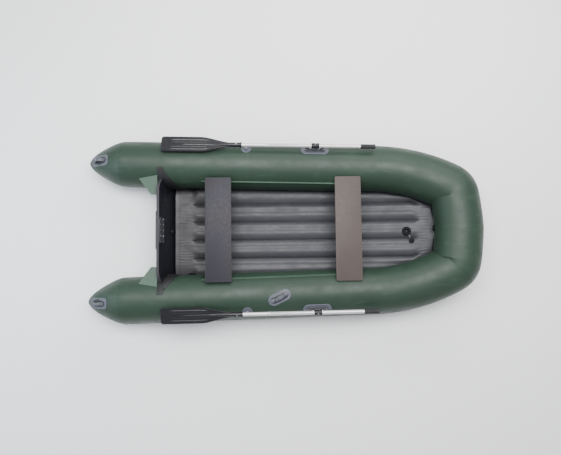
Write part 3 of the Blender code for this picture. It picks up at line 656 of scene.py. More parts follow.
def web_places(half):
    """Where the floor's edges and its webs run, from starboard to port, at a half-width."""
    one, two = (min(edge, half * share) for edge, share in zip(CHANNEL_EDGES, WEB_SHARES))
    return (-half, -two, -one, one, two, half)


def floor_height(x, y, half, puckering=1.0):
    """Top of the air floor: crowned channels, soft creases beside the webs and puckered ends."""
    edges = web_places(half)
    for left, right in zip(edges, edges[1:]):
        if left <= y <= right:
            break
    f = min(1.0, max(0.0, (y - left) / max(right - left, 1e-6)))
    crown = FLOOR_CROWN * math.sqrt(max(0.0, math.sin(math.pi * f)))
    ragged = x + 0.018 * wobble((0.0, y, 0.0), 0.06, 2.0)
    channel = smoothstep(FLOOR_AFT_X + 0.13, FLOOR_AFT_X + 0.19, ragged)
    channel *= smoothstep(FLOOR_FRONT_X - 0.10, FLOOR_FRONT_X - 0.16, ragged)
    panel = PANEL_CROWN * (1.0 - min(1.0, abs(y) / max(half, 1e-6)) ** 8)
    height = crown * channel + panel * (1.0 - channel)
    for web in edges[1:-1]:
        height -= CREASE_DEPTH * math.exp(-((y - web + CREASE_OFFSET) / CREASE_WIDTH) ** 2) * channel
    # The ends, where no channel shows: puckers along the boat, and a few creases across it.
    end = (1.0 - channel) * (1.0 - smoothstep(FLOOR_FRONT_X - 0.045, FLOOR_FRONT_X - 0.015, x))
    drift = y + 0.016 * wobble((x, y, 0.0), 0.12)
    puckers = max(0.0, 0.35 + wobble((0.6 * x, y, 7.0), 0.05))
    height += 0.0012 * end * puckers * math.sin(math.tau * drift / 0.0235) * puckering
    across = max(0.0, math.sin(math.tau * x / 0.034 + 2.0 * wobble((y, x, 0.0), 0.06)))
    height -= 0.0014 * end * across ** 6 * max(0.0, wobble((2.0 * x, y, 4.0), 0.07))
    height += 0.0014 * wobble((x, 2.2 * y, 0.0), 0.14, 5.0) + 0.0006 * wobble((x, y, 0.0), 0.05, 9.0)
    return FLOOR_VALLEY_Z + bow_lift(x) + height


def floor_half(x):
    return half_width(EDGES[0], x)


def cut_valve_pocket(floor):
    """Open the floor for the cup of its valve."""
    profile = [(0.0, -0.034), (0.0257, -0.034), (0.0257, 0.030), (0.0, 0.030)]
    cutter = new_object("valve_pocket", new_mesh("valve_pocket", [turned(profile, floor_valve_frame(), 64)]))
    pocket = floor.modifiers.new("valve_pocket", "BOOLEAN")
    pocket.operation = "DIFFERENCE"
    pocket.object = cutter
    opened = bpy.data.meshes.new_from_object(floor.evaluated_get(bpy.context.evaluated_depsgraph_get()))
    floor.modifiers.clear()
    floor.data = opened
    bpy.data.objects.remove(cutter)


def floor_stations():
    """(x, fullness) of the rings along the floor, closer together where its ends round off."""
    end_run, end_steps, spacing = 0.014, 6, 0.011
    ends = []
    for k in range(end_steps):
        quarter = math.pi / 2 * k / end_steps
        ends.append((end_run * (1.0 - math.cos(quarter)), math.sin(quarter) or 0.06))
    start, end = FLOOR_AFT_X + end_run, FLOOR_FRONT_X - end_run
    count = round((end - start) / spacing)
    stations = [(FLOOR_AFT_X + run, fullness) for run, fullness in ends]
    stations += [(start + (end - start) * k / count, 1.0) for k in range(count + 1)]
    return stations + [(FLOOR_FRONT_X - run, fullness) for run, fullness in reversed(ends)]


def floor_ring(x, fullness, per_channel=28):
    """One ring round the floor: over its channels from starboard to port, and down round its sides."""
    half = floor_half(x)
    edges = web_places(half)
    ring = []
    for left, right in zip(edges, edges[1:]):
        for k in range(per_channel):
            y = left + (right - left) * 0.5 * (1.0 - math.cos(math.pi * k / per_channel))
            ring.append(Vector((x, y, floor_height(x, y, half))))
    ring.append(Vector((x, half, floor_height(x, half, half))))
    side = [Vector((x, half_width(edge, x), z + bow_lift(x))) for edge, z in zip(EDGES[1:], LEVELS[1:])]
    ring += side + [Vector((x, -p.y, p.z)) for p in reversed(side)]
    level = (FLOOR_VALLEY_Z + FLOOR_BOTTOM_Z) / 2 if x < 0.0 else FLOOR_VALLEY_Z + PANEL_CROWN
    level += bow_lift(x)
    lean = TRANSOM_RAKE * (1.0 - smoothstep(FLOOR_AFT_X, FLOOR_AFT_X + 0.10, x))
    for p in ring:
        p.z = level + (p.z - level) * fullness
        p.x -= lean * (p.z - FLOOR_BOTTOM_Z)
    return ring


def make_floor(fabric, line_paint, border_paint):
    """Inflated floor, the weld line along each web and the strip that closes its after end."""
    stations = floor_stations()
    rings = [floor_ring(x, fullness) for x, fullness in stations]
    floor = piece("air_floor_skin", [skin_rings(rings)], fabric, replaces=["air_floor"],
                  sharp=math.radians(60.0))
    cut_valve_pocket(floor)

    for k in range(1, 5):
        rings = []
        for x, _ in stations:
            if not FLOOR_AFT_X + 0.165 < x < FLOOR_FRONT_X - 0.13:
                continue
            half = floor_half(x)
            web = web_places(half)[k]
            y = web + 0.0015 * wobble((x, k, 0.0), 0.15)
            w = 0.0030 + 0.0008 * wobble((x, k, 0.0), 0.04)
            z = floor_height(x, web, half)
            section = ((-w, -0.002), (-0.7 * w, 0.0042), (0.0, 0.0036), (0.7 * w, 0.0042), (w, -0.002))
            rings.append([Vector((x, y + across, z + up)) for across, up in section])
        piece(f"floor_web_{k}", [skin_rings(rings)], line_paint)

    rings = []
    for run, over in ((0.010, -0.004), (0.011, 0.0034), (0.025, 0.0030), (0.041, 0.0034), (0.042, -0.004)):
        x = FLOOR_AFT_X + run
        half = floor_half(x) - 0.004
        ys = [half * k / 60 for k in range(-60, 61)]
        top = [Vector((x - 0.012, y, floor_height(x, y, half, 0.4) + over)) for y in ys]
        rings.append(top + [p - Vector((0.0, 0.0, 0.006)) for p in reversed(top)])
    piece("floor_end_strip", [skin_rings(rings)], border_paint)


# ---- soft flaps, holders and the transom ----
GUSSET_FREE_Z = 0.3205
GUSSET_FORE_X, GUSSET_FREE_X, GUSSET_TAB_X = -1.017, -1.069, -1.115
TRANSOM_FRAME = (Matrix.Translation(TRANSOM_TOP) @ turn("Y", -math.degrees(math.atan(TRANSOM_RAKE)))
                 @ LIE_ALONG_X)
DRAIN_DOWN = 0.265


def make_gussets(cloth, tab_cloth):
    """The knees behind the transom: thin taut cloth from the tube to the board, with a welded tab."""
    columns, rows = 24, 28
    thickness = Vector((0.0, 0.0, 0.0011))
    run = run_of_x(GUSSET_TAB_X)
    for name, side in SIDES.items():
        low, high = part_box(name + "_gusset")
        inner, outer = sorted((abs(low.y), abs(high.y)))
        aft_top = Vector((low.x - 0.012, outer - 0.052, 0.0))
        fore_top = Vector((GUSSET_FORE_X, outer - 0.029, 0.0))
        aft_free, fore_free = Vector((GUSSET_FREE_X, inner, 0.0)), Vector((high.x, inner, 0.0))
        grid = []
        for i in range(rows + 1):
            t = i / rows
            row = []
            for j in range(columns + 1):
                s = j / columns
                start = aft_top.lerp(fore_top, s)
                p = start.lerp(aft_free.lerp(fore_free, s), t)
                z = tube_top(start) + (GUSSET_FREE_Z - tube_top(start)) * t
                z -= 0.0030 * math.sin(math.pi * t) * (1.0 - 0.6 * s)
                z += 0.0010 * math.sin(9.0 * s + 5.0 * t) * t
                row.append(Vector((p.x, side * p.y, max(z, tube_top(p)))))
            grid.append(row)
        rings = [row + [p - thickness for p in reversed(row)] for row in grid]
        flap = piece(name + "_gusset_cloth", [skin_rings(rings)], cloth,
                     replaces=[name + "_gusset"])
        band(name + "_gusset_tab", side, run - 0.070, run + 0.040, 110.0, 137.0, tab_cloth, 0.0014)


def tube_top(p):
    """Height of the tube's fabric, and a little more, under a plan point."""
    across = side_centre_y(p.x) - p.y
    return TUBE_R + math.sqrt(max(0.0, (TUBE_R + 0.004) ** 2 - across ** 2)) if across < TUBE_R else 0.0


def make_transom(board_paint, plate_paint, metal, rubber):
    """Board and plates with softened edges, their screws and ribs, the holders and the drain valve."""
    keep_cad("transom_board", board_paint, 0.0035, segments=3)
    keep_cad("transom_outer_plate", plate_paint, 0.0030, segments=3)
    keep_cad("transom_inner_plate", plate_paint, 0.0025, segments=3)
    inner, outer = TRANSOM_T / 2 + 0.0063, -TRANSOM_T / 2 - 0.0093
    head = [(0.0, 0.0), (0.0052, 0.0), (0.0046, 0.0018), (0.0024, 0.0030), (0.0, 0.0033)]
    screws = [turned(head, TRANSOM_FRAME @ moved(down, across, inner), 20)
              for across in (-0.090, -0.045, 0.0, 0.045, 0.090) for down in (0.0185, 0.0745)]
    head = [(0.0, 0.0), (0.0060, 0.0), (0.0052, 0.0020), (0.0028, 0.0034), (0.0, 0.0037)]
    screws += [turned(head, TRANSOM_FRAME @ moved(down, across, outer) @ turn("X", 180), 20)
               for down in (0.030, 0.148) for across in (-0.125, 0.125)]
    piece("transom_screws", screws, metal)
    ribs = [bar_box(TRANSOM_FRAME @ moved(down, 0.0, inner - 0.0003), 0.0028, 0.186, 0.0026)
            for down in (0.0105, 0.0300, 0.0465, 0.0630, 0.0825)]
    ribs += [bar_box(TRANSOM_FRAME @ moved(0.0465, across, inner - 0.0003), 0.072, 0.0034, 0.0030)
             for across in (-0.100, 0.100)]
    piece("transom_plate_ribs", ribs, plate_paint)
    for name in SIDES:
        keep_cad(name + "_transom_holder", rubber, 0.0022)
    keep_cad("drain_valve_body", rubber, 0.0008)
    keep_cad("drain_valve_plug", rubber, 0.0010)
    plug = TRANSOM_FRAME @ moved(DRAIN_DOWN, 0.0, TRANSOM_T / 2 + 0.0130)
    grip = bars_around(plug, 24, 0.0180, -0.0045, (0.0014, 0.0018, 0.0050))
    grip.append(bar_box(plug @ moved(0.0, 0.0, 0.0010), 0.024, 0.0040, 0.0050))
    piece("drain_plug_grip", grip, rubber, body="drain_plug")


# ---- valves ----
CHAMBER_VALVE_X = -0.77
SIDE_VALVE_ANGLE, BOW_VALVE_ANGLE = 190.0, 200.0


def floor_valve_frame():
    """Frame of the floor valve, on the crown of the floor's middle channel."""
    x, y = 1.012, -0.018
    z = FLOOR_VALLEY_Z + FLOOR_CROWN + bow_lift(x)
    slope = (bow_lift(x + 0.01) - bow_lift(x - 0.01)) / 0.02
    return moved(x, y, z + 0.0012) @ turn("Y", -math.degrees(math.atan(slope)))


def make_valves(body_paint, stem_paint, flange_paint, strap_paint):
    """Floor valve with its strap, spokes and cap ribs, and the three chamber valves."""
    place = floor_valve_frame()
    keep_cad("floor_valve_body", body_paint, 0.0008)
    keep_cad("floor_valve_stem", stem_paint, 0.0006)
    keep_cad("floor_valve_cap", body_paint, 0.0008)
    spokes = bars_around(place, 3, 0.0122, -0.0203, (0.0150, 0.0022, 0.0016), 20.0)
    rim = rounded([(0.0315, 0.0008), (0.0352, 0.0008), (0.0352, 0.0030), (0.0315, 0.0042), (0.0300, 0.0042),
                   (0.0300, 0.0008)], 0.0008)
    piece("floor_valve_spokes", spokes + [turned(rim, place)], body_paint)
    patch = rounded([(0.020, -0.0010), (0.0375, -0.0022), (0.0380, -0.0004), (0.034, 0.0016),
                     (0.020, 0.0016)], 0.0006)
    piece("floor_valve_patch", [turned(patch, place)], flange_paint)
    cap, start = Vector((0.040, -0.078, 0.0)), Vector((0.017, -0.031, 0.0020))
    end = cap + Vector((-0.010, 0.019, 0.0008))
    across = (cap - start).cross(Vector((0.0, 0.0, 1.0))).normalized() * 0.0024
    up = Vector((0.0, 0.0, 0.0016))
    rings = []
    for k in range(15):
        mid = start.lerp(end, k / 14)
        mid.z += 0.0065 * math.sin(math.pi * k / 14)
        rings.append([place @ p for p in (mid - across, mid + across, mid + across + up, mid - across + up)])
    piece("floor_valve_strap", [skin_rings(rings)], strap_paint)
    ribs = bars_around(place @ Matrix.Translation(cap), 20, 0.0206, 0.0066, (0.0022, 0.0024, 0.0046))
    ribs.append(bar_box(place @ Matrix.Translation(cap) @ moved(0.0, 0.0, 0.0128), 0.026, 0.0035, 0.0016))
    piece("floor_valve_cap_ribs", ribs, body_paint)

    places = {}
    for name, side in SIDES.items():
        places[name] = side_frame(side, CHAMBER_VALVE_X, SIDE_VALVE_ANGLE, 0.0006)
    bow = hull_point(PORT, 0.0, BOW_VALVE_ANGLE, 0.0006, relief=False)
    places["bow"] = Matrix.Translation(bow) @ turn("Y", 90.0 - BOW_VALVE_ANGLE)
    cap = rounded([(0.0, 0.013), (0.0170, 0.0130), (0.0200, 0.0115), (0.0210, 0.0050), (0.0260, 0.0050),
                   (0.0298, 0.0030), (0.0300, 0.0002), (0.0, 0.0)], 0.0008)
    flange = rounded([(0.029, -0.0014), (0.0420, -0.0022), (0.0425, -0.0008), (0.0405, 0.0004),
                      (0.029, 0.0010)], 0.0005)
    for name, place in places.items():
        ribs = bars_around(place, 24, 0.0203, 0.0052, (0.0020, 0.0022, 0.0058))
        grip = bar_box(place @ moved(0.0, 0.0, 0.0122), 0.026, 0.0036, 0.0022)
        piece(name + "_chamber_valve_fine", [turned(cap, place), *ribs, grip], body_paint,
              replaces=[name + "_chamber_valve"])
        piece(name + "_chamber_valve_flange", [turned(flange, place)], flange_paint)


# ---- seats ----
SEAT_X = {"aft": -0.534, "forward": 0.496}
SLIDER_Y, SCREW_OFFSET = 0.352, 0.045


def make_seats(paints, slider_paint, metal, rail_paint):
    """Boards, screws under each slider, and the moulded rails they hook over."""
    head = [(0.0, -0.0005), (0.0055, -0.0005), (0.0055, 0.0008), (0.0036, 0.0028), (0.0, 0.0032)]
    for name, x in SEAT_X.items():
        keep_cad(name + "_seat_board", paints[name])
        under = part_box(name + "_seat_board")[0].z
        screws = []
        for side_name, side in SIDES.items():
            keep_cad(f"{name}_seat_{side_name}_slider", slider_paint, 0.0015)
            screws += [turned(head, moved(x + along, side * SLIDER_Y, under) @ turn("X", 180), 20)
                       for along in (-SCREW_OFFSET, SCREW_OFFSET)]
        piece(name + "_seat_screws", screws, metal, body=name + "_seat")
    half = ((-2.6, 0.0), (-2.6, 0.0010), (-2.2, 0.0014), (-1.7, 0.0016), (-1.35, 0.0030), (-1.25, 0.0056),
            (-0.8, 0.0078))
    profile = both_halves(half, 0.0086)
    for name, side in SIDES.items():
        low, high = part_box(name + "_seat_rail")
        start, end = run_of_x(high.x), run_of_x(low.x)
        rings = []
        for k in range(81):
            f = k / 80
            run = start + (end - start) * f
            tail = smoothstep(0.0, 0.03, f) * smoothstep(1.0, 0.97, f)
            wide, tall = 0.55 + 0.45 * tail, 0.3 + 0.7 * tail
            rings.append([hull_point(side, run, RAIL_ANGLE + a * wide, 0.0012 + h * tall)
                          for a, h in profile])
        # The bead's paler colour is a painted highlight.
        piece(name + "_seat_rail_bead", [skin_rings(rings)], rail_paint,
              replaces=[name + "_seat_rail"])


# ---- patches and handles on the hull ----
def rounded_rectangle(length, width, radius, steps=8):
    points = []
    for cx, cy, start in ((1, 1, 0), (-1, 1, 90), (-1, -1, 180), (1, -1, 270)):
        for k in range(steps + 1):
            a = math.radians(start + 90 * k / steps)
            points.append((cx * (length / 2 - radius) + radius * math.cos(a),
                           cy * (width / 2 - radius) + radius * math.sin(a)))
    return points


def on_patch(side, x, angle, yaw, u, v, height):
    """Point on a patch bent to the side tube: u along it, v across it."""
    c, s = math.cos(math.radians(yaw)), math.sin(math.radians(yaw))
    px = x + u * c - v * s
    return side_point(side, px, angle - math.degrees((u * s + v * c) / fabric_radius(px)), height)


RIMMED = ((0.0, -0.0010), (0.0, 0.0028), (0.0015, 0.0040), (0.0050, 0.0044), (0.0085, 0.0040),
          (0.0105, 0.0030), (0.0130, 0.0028), (0.0200, 0.0028))


def soft_patch(name, side, x, angle, size, corner, paint, replaces=(), yaw=0.0, profile=RIMMED):
    """A moulded patch with a raised rim, bent to the tube. The profile gives (inset, height) steps."""
    length, width = size
    rings = []
    for inset, height in profile:
        outline = rounded_rectangle(length - 2 * inset, width - 2 * inset, max(0.004, corner - inset))
        rings.append([on_patch(side, x, angle, yaw, u, v, height) for u, v in outline])
    outline = rounded_rectangle(length, width, corner)
    inset, height = profile[-1]
    shrink = 1.0 - 2 * inset / width
    for f in (0.66 * shrink, 0.33 * shrink, 0.04):
        rings.append([on_patch(side, x, angle, yaw, u * f, v * f, height) for u, v in outline])
    piece(name, [skin_rings(rings)], paint, replaces=replaces)


def arch(place, length, width, rise, thickness, foot, crown=0.0012):
    """A strap lying flat at both ends and arched between them, with rounded edges."""
    half, t = length / 2, thickness
    rings = []
    for k in range(61):
        x = -half + length * k / 60
        f = (x + half - foot) / (length - 2 * foot)
        lift = rise * math.sin(math.pi * f) ** 0.55 if 0.0 < f < 1.0 else 0.0
        end = math.sqrt(max(0.0, 1.0 - (abs(x) / half) ** 14))
        w = width / 2 * (0.35 + 0.65 * end)
        section = [(-w, 0.3 * t), (-0.96 * w, 0.0), (0.96 * w, 0.0), (w, 0.3 * t), (w, 0.7 * t), (0.9 * w, t),
                   (0.45 * w, t + crown), (0.0, t + 1.2 * crown), (-0.45 * w, t + crown), (-0.9 * w, t),
                   (-w, 0.7 * t)]
        rings.append([place @ Vector((x, y, z + lift)) for y, z in section])
    return skin_rings(rings)


CONE_PATCH_X, CONE_PATCH_ANGLE = -1.484, 86.0
CARRY_X, CARRY_ANGLE, CARRY_YAW = -0.057, 86.0, -25.0
PATCH_TOP = 0.0014 + 0.003            # the CAD's patches: their gap to the tube and their thickness
PATCH_LIFT = PATCH_TOP + 0.0012


def make_handles(patch_paint, strap_paint, dark):
    """Towing handles on the cones and the angled lifting handle on the starboard tube, with a black pad
    painted as shade in the recess under each strap.
    """
    rivet = [(0.0, 0.0), (0.0030, 0.0), (0.0026, 0.0010), (0.0, 0.0016)]
    tip = [(0.0, 0.0), (0.0165, 0.0), (0.0150, 0.004), (0.0090, 0.0072), (0.0, 0.0085)]
    for name, side in SIDES.items():
        soft_patch(name + "_cone_patch_rim", side, CONE_PATCH_X, CONE_PATCH_ANGLE, (0.150, 0.088), 0.022,
                   patch_paint, [name + "_cone_patch"])
        # Painted shade: a black pad in the recess under the strap.
        soft_patch(name + "_cone_recess_painted_shade", side, CONE_PATCH_X, CONE_PATCH_ANGLE, (0.106, 0.048), 0.016, dark,
                   profile=((0.0, 0.001), (0.0, 0.0036), (0.002, 0.0040), (0.006, 0.0040)))
        place = side_frame(side, CONE_PATCH_X, CONE_PATCH_ANGLE, PATCH_LIFT)
        strap = arch(place, 0.125, 0.026, 0.024, 0.0042, 0.027)
        piece(name + "_cone_strap", [strap], strap_paint, replaces=[name + "_cone_handle"])
        rivets = [turned(rivet, place @ moved(end * 0.050, row * 0.0065, 0.0050), 16)
                  for end in (-1, 1) for row in (-1, 1)]
        piece(name + "_cone_rivets", rivets, dark)
        at = moved(CONE_END_X + 0.0045, side * side_centre_y(CONE_END_X), TUBE_R)
        piece(name + "_cone_tip", [turned(tip, at @ turn("Y", -90), 40)], dark)

    soft_patch("carry_patch_rim", STARBOARD, CARRY_X, CARRY_ANGLE, (0.185, 0.090), 0.044, patch_paint,
               ["carry_handle_patch"], CARRY_YAW)
    # Painted shade: a black pad in the recess under the grip.
    soft_patch("carry_recess_painted_shade", STARBOARD, CARRY_X, CARRY_ANGLE, (0.142, 0.050), 0.024, dark, (), CARRY_YAW,
               profile=((0.0, 0.001), (0.0, 0.0038), (0.002, 0.0042), (0.008, 0.0042)))
    place = side_frame(STARBOARD, CARRY_X, CARRY_ANGLE, PATCH_LIFT) @ turn("Z", -CARRY_YAW)
    strap = arch(place, 0.150, 0.030, 0.026, 0.0062, 0.033, crown=0.0022)
    piece("carry_grip_strap", [strap], strap_paint, replaces=["carry_handle_grip"])
    ribs = []
    for k in range(-4, 5):
        lift = 0.026 * math.cos(math.pi * k * 0.0075 / 0.084) ** 0.55
        ribs.append(bar_box(place @ moved(0.0075 * k, 0.0, lift + 0.0078), 0.0026, 0.022, 0.0018))
    piece("carry_grip_ribs", ribs, patch_paint)


# ---- oarlocks and oars ----
OARLOCK_X, OARLOCK_ANGLE = 0.24, 52.0
BAR_HEIGHT, PIN_TILT, OAR_HEIGHT = 0.020, 18.0, 0.037
OAR_TOE = {"port": 1.4, "starboard": 0.6}
SHAFT_R, BORE_R, SPIGOT_R, SPIGOT_BORE_R = 0.015, 0.0115, 0.0133, 0.0137
BLADE_HALF_WIDTH, SOCKET_HALF_WIDTH, TIP_CORNER = 0.0675, 0.0190, 0.022
BLADE_TAPER_X, BLADE_TAPER_RUN = -0.905, 0.235
OAR_TIP, NECK_END, SHAFT_JOINT, BUTTON_AT = -1.22, -0.59, -0.37, -0.385
OAR_REST_X = -0.310


def lock_frame(side):
    """Frame of an oarlock: the origin on its bar, Z along the pin the oar swings about."""
    bar = side_frame(side, OARLOCK_X, OARLOCK_ANGLE) @ Vector((0.0, 0.0, BAR_HEIGHT))
    return Matrix.Translation(bar) @ turn("X", -side * PIN_TILT)


def oar_frame(name, side):
    """Frame of a stowed oar: X along the shaft towards its grip, Z square to the blade."""
    return lock_frame(side) @ moved(0.0, 0.0, OAR_HEIGHT) @ turn("Z", -side * OAR_TOE[name])


def make_oarlock(name, side, paints):
    """Patch, moulded bracket with its ribs, the steel bar with its nuts, and the collar of the clip."""
    soft_patch(name + "_oarlock_patch_rim", side, OARLOCK_X, OARLOCK_ANGLE, (0.225, 0.088), 0.040,
               paints["patch"], [name + "_oarlock_patch"])
    base = side_frame(side, OARLOCK_X, OARLOCK_ANGLE)
    foot = PATCH_TOP + 0.0003
    keep_cad(name + "_oarlock_bracket", paints["bracket"], 0.0014, segments=3)
    outline = rounded_rectangle(0.166, 0.046, 0.016)
    levels = ((foot - 0.003, 1.0), (foot + 0.0015, 1.0), (foot + 0.0030, 0.97))
    plate = [skin_rings([[base @ Vector((x * grow, y * grow, z)) for x, y in outline] for z, grow in levels])]
    nut = [(0.0, 0.0), (0.0078, 0.0), (0.0078, 0.0026), (0.0060, 0.0044), (0.0, 0.0050)]
    bolt = [(0.0, 0.0), (0.0052, 0.0), (0.0046, 0.0018), (0.0, 0.0026)]
    nuts = []
    for end in (-1, 1):
        for edge in (-1, 1):
            rib = base @ moved(end * 0.062, edge * 0.014, foot + 0.0028)
            plate.append(bar_box(rib, 0.026, 0.0035, 0.011))
        plate.append(bar_box(base @ moved(end * 0.0555, 0.0, foot + 0.004), 0.0050, 0.024, 0.019))
        nuts.append(turned(nut, base @ moved(end * 0.0522, 0.0, BAR_HEIGHT) @ turn("Y", 90 * end), 6))
        nuts.append(turned(bolt, base @ moved(end * 0.0720, 0.0, foot + 0.0030), 20))
    piece(name + "_bracket_base", plate, paints["bracket"])
    low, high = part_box(name + "_oarlock_bar")
    reach = (high.x - low.x) / 2
    bar = rounded([(0.0, -reach), (0.004, -reach), (0.004, reach), (0.0, reach)], 0.0006)
    piece(name + "_steel_bar", [turned(bar, base @ moved(0.0, 0.0, BAR_HEIGHT) @ LIE_ALONG_X, 32)],
          paints["steel"], replaces=[name + "_oarlock_bar"])
    piece(name + "_bar_nuts", nuts, paints["steel"])

    keep_cad(name + "_oarlock_clip", paints["clip"], 0.0007)
    lock = lock_frame(side)
    collar = [(0.0, 0.0163), (0.0125, 0.0163), (0.0135, 0.0140), (0.0100, 0.0095), (0.0, 0.0095)]
    cheeks = [bar_box(lock @ moved(end * 0.0135, 0.0, 0.0085), 0.0040, 0.0230, 0.0072) for end in (-1, 1)]
    piece(name + "_clip_collar", [turned(rounded(collar, 0.0008), lock, 40), *cheeks], paints["clip"],
          body=name + "_clip")


def blade_half_width(x):
    """Half-width of the blade: rounded tip, straight sides, then a taper to the socket."""
    tip = x - OAR_TIP
    half = BLADE_HALF_WIDTH
    if tip < TIP_CORNER:
        half -= TIP_CORNER - math.sqrt(max(0.0, TIP_CORNER ** 2 - (TIP_CORNER - tip) ** 2))
    taper = min(1.0, max(0.0, (x - BLADE_TAPER_X) / BLADE_TAPER_RUN))
    return half + (SOCKET_HALF_WIDTH - half) * (0.35 * taper + 0.65 * smoothstep(0.0, 1.0, taper))


def blade_height(x, y, half):
    """Half-thickness of the blade: a thin plate, a spine growing into the socket, side ribs and a rim."""
    neck = smoothstep(-0.86, NECK_END - 0.06, x)
    plate = 0.0042 + 0.0010 * neck
    spine_r = 0.0085 + 0.0100 * neck
    spine = math.sqrt(max(0.0, 1.0 - (y / spine_r) ** 2)) * (0.0075 + 0.0110 * neck)
    spine *= smoothstep(OAR_TIP + 0.10, OAR_TIP + 0.20, x)
    height = max(plate, spine)
    ribs = smoothstep(OAR_TIP + 0.055, OAR_TIP + 0.10, x) * smoothstep(-0.83, -0.88, x)
    for place, wide, tall in ((0.30, 0.0035, 0.0022), (0.62, 0.0045, 0.0036)):
        height += tall * ribs * math.exp(-((abs(y) - place * half) / wide) ** 2)
    rim = math.exp(-((half - abs(y)) / 0.0035) ** 2) * (1.0 - neck)
    edge = math.sqrt(min(1.0, max(0.0, (half - abs(y)) / 0.0022)))
    return (height + 0.0018 * rim) * edge


def make_blade(name, oar, paints):
    """Moulded blade with its ribs, the collar where the shaft leaves it and its screw."""
    body = name + "_oar"
    straight, end = OAR_TIP + TIP_CORNER, NECK_END - 0.002
    xs = [OAR_TIP + TIP_CORNER * (1.0 - math.cos(math.pi / 2 * k / 8)) for k in range(8)]
    xs += [straight + (end - straight) * k / 90 for k in range(91)]
    rings = []
    for x in xs:
        half = max(0.006, blade_half_width(x))
        thin = 0.4 + 0.6 * min(1.0, (x - OAR_TIP) / 0.003)
        ys = [-half * math.cos(math.pi * k / 64) for k in range(65)]
        top = [(y, thin * blade_height(x, y, half)) for y in ys]
        under = [(y, -z) for y, z in reversed(top[1:-1])]
        rings.append([oar @ Vector((x, y, z)) for y, z in top + under])
    piece(name + "_blade_moulding", [skin_rings(rings)], paints["blade"], body,
          [name + "_oar_blade"], sharp=math.radians(50.0))
    collar = rounded([(SHAFT_R + 0.0003, -0.600), (0.0200, -0.600), (0.0206, -0.597), (0.0206, -0.588),
                      (0.0196, -0.584), (SHAFT_R + 0.0003, -0.5835)], 0.0008)
    piece(name + "_blade_collar", [turned(collar, oar @ LIE_ALONG_X)], paints["dark"], body)
    head = [(0.0, 0.0), (0.0046, 0.0), (0.0042, 0.0012), (0.0020, 0.0021), (0.0, 0.0022)]
    piece(name + "_blade_screw", [turned(head, oar @ moved(-0.628, 0.0, 0.0180), 24)], paints["steel"],
          body)


def make_shafts(name, oar, paints):
    """The two hollow tubes, the spigot and ferrule at their joint, the button's hole and the grip."""
    body = name + "_oar"
    along = oar @ LIE_ALONG_X
    lower = [(SPIGOT_BORE_R, -0.655), (SHAFT_R, -0.655), (SHAFT_R, SHAFT_JOINT - 0.0006),
             (0.0145, SHAFT_JOINT - 0.0003), (SPIGOT_BORE_R, SHAFT_JOINT - 0.0003)]
    upper = [(BORE_R, BUTTON_AT + 0.0065), (SPIGOT_R, BUTTON_AT + 0.0065), (SPIGOT_R, SHAFT_JOINT),
             (SHAFT_R - 0.0004, SHAFT_JOINT), (SHAFT_R, SHAFT_JOINT + 0.0006), (SHAFT_R, 0.46),
             (BORE_R, 0.46)]
    for tag, profile in (("lower", lower), ("upper", upper)):
        piece(f"{name}_{tag}_tube", [turned(profile, along, 64)], paints["shaft"], body,
              [f"{name}_oar_{tag}_shaft"])
    spigot = [(BORE_R, -0.47), (0.0131, -0.4695), (SPIGOT_R, -0.467), (SPIGOT_R, BUTTON_AT - 0.0065),
              (BORE_R, BUTTON_AT - 0.0065)]
    piece(name + "_shaft_spigot", [turned(spigot, along)], paints["shaft"], body)
    hole = [(0.0043, 0.0138), (0.0056, 0.0138), (0.0056, 0.0149), (0.0050, 0.0153), (0.0043, 0.0152)]
    piece(name + "_button_hole", [turned(hole, oar @ moved(BUTTON_AT, 0.0, 0.0), 32)], paints["dark"],
          body)
    keep_cad(name + "_oar_button", paints["steel"], 0.0005)
    ferrule = [(SHAFT_R + 0.0002, SHAFT_JOINT - 0.016), (0.0158, SHAFT_JOINT - 0.016),
               (0.0162, SHAFT_JOINT - 0.014), (0.0162, SHAFT_JOINT - 0.002), (0.0158, SHAFT_JOINT - 0.0004),
               (SHAFT_R + 0.0002, SHAFT_JOINT - 0.0004)]
    piece(name + "_shaft_ferrule", [turned(ferrule, along)], paints["shaft"], body)

    start, end, count = 0.360, 0.472, 11
    grip = [(0.0, start + 0.10), (SHAFT_R + 0.0003, start + 0.10), (SHAFT_R + 0.0003, start), (0.0176, start),
            (0.0192, start + 0.0020), (0.0194, start + 0.0060)]
    pitch = (end - start - 0.018) / count
    for k in range(count):
        at = start + 0.008 + pitch * k
        grip += [(0.0184, at), (0.0174, at + 0.0012), (0.0174, at + 0.0024), (0.0184, at + 0.0036),
                 (0.0187, at + 0.5 * (pitch + 0.0036))]
    grip += [(0.0192, end - 0.004), (0.0188, end + 0.002), (0.0150, end + 0.0052), (0.0, end + 0.0062)]
    piece(name + "_ribbed_grip", [turned(grip, along, 64)], paints["grip"], body,
          [name + "_oar_grip"])


def make_clamp(name, oar, paints):
    """Clamp round the shaft: the CAD ring with soft edges, its flanged collars and tightening screw."""
    body = name + "_oar"
    along = oar @ LIE_ALONG_X
    inner = SHAFT_R + 0.0004
    keep_cad(name + "_oar_clamp", paints["dark"], 0.0012, segments=3)
    collars = []
    for low, high in ((-0.0300, -0.0255), (0.0255, 0.0300)):
        flange = [(inner, low), (0.0225, low), (0.0238, (low + high) / 2), (0.0225, high), (inner, high)]
        collars.append(turned(rounded(flange, 0.0008), along))
    collars.append(bar_box(oar @ moved(0.0, 0.0, 0.0205), 0.036, 0.0140, 0.0070))
    piece(name + "_clamp_collars", collars, paints["dark"], body)
    saddle = rounded([(0.0213, -0.0085), (0.0232, -0.0085), (0.0238, 0.0), (0.0232, 0.0085),
                      (0.0213, 0.0085)], 0.0006)
    piece(name + "_clamp_saddle", [turned(saddle, along)], paints["dark"], body)
    head = [(0.0, 0.0), (0.0050, 0.0), (0.0050, 0.0020), (0.0038, 0.0034), (0.0, 0.0038)]
    piece(name + "_clamp_screw", [turned(head, oar @ moved(0.0, 0.0, 0.0274), 6)], paints["steel"],
          body)


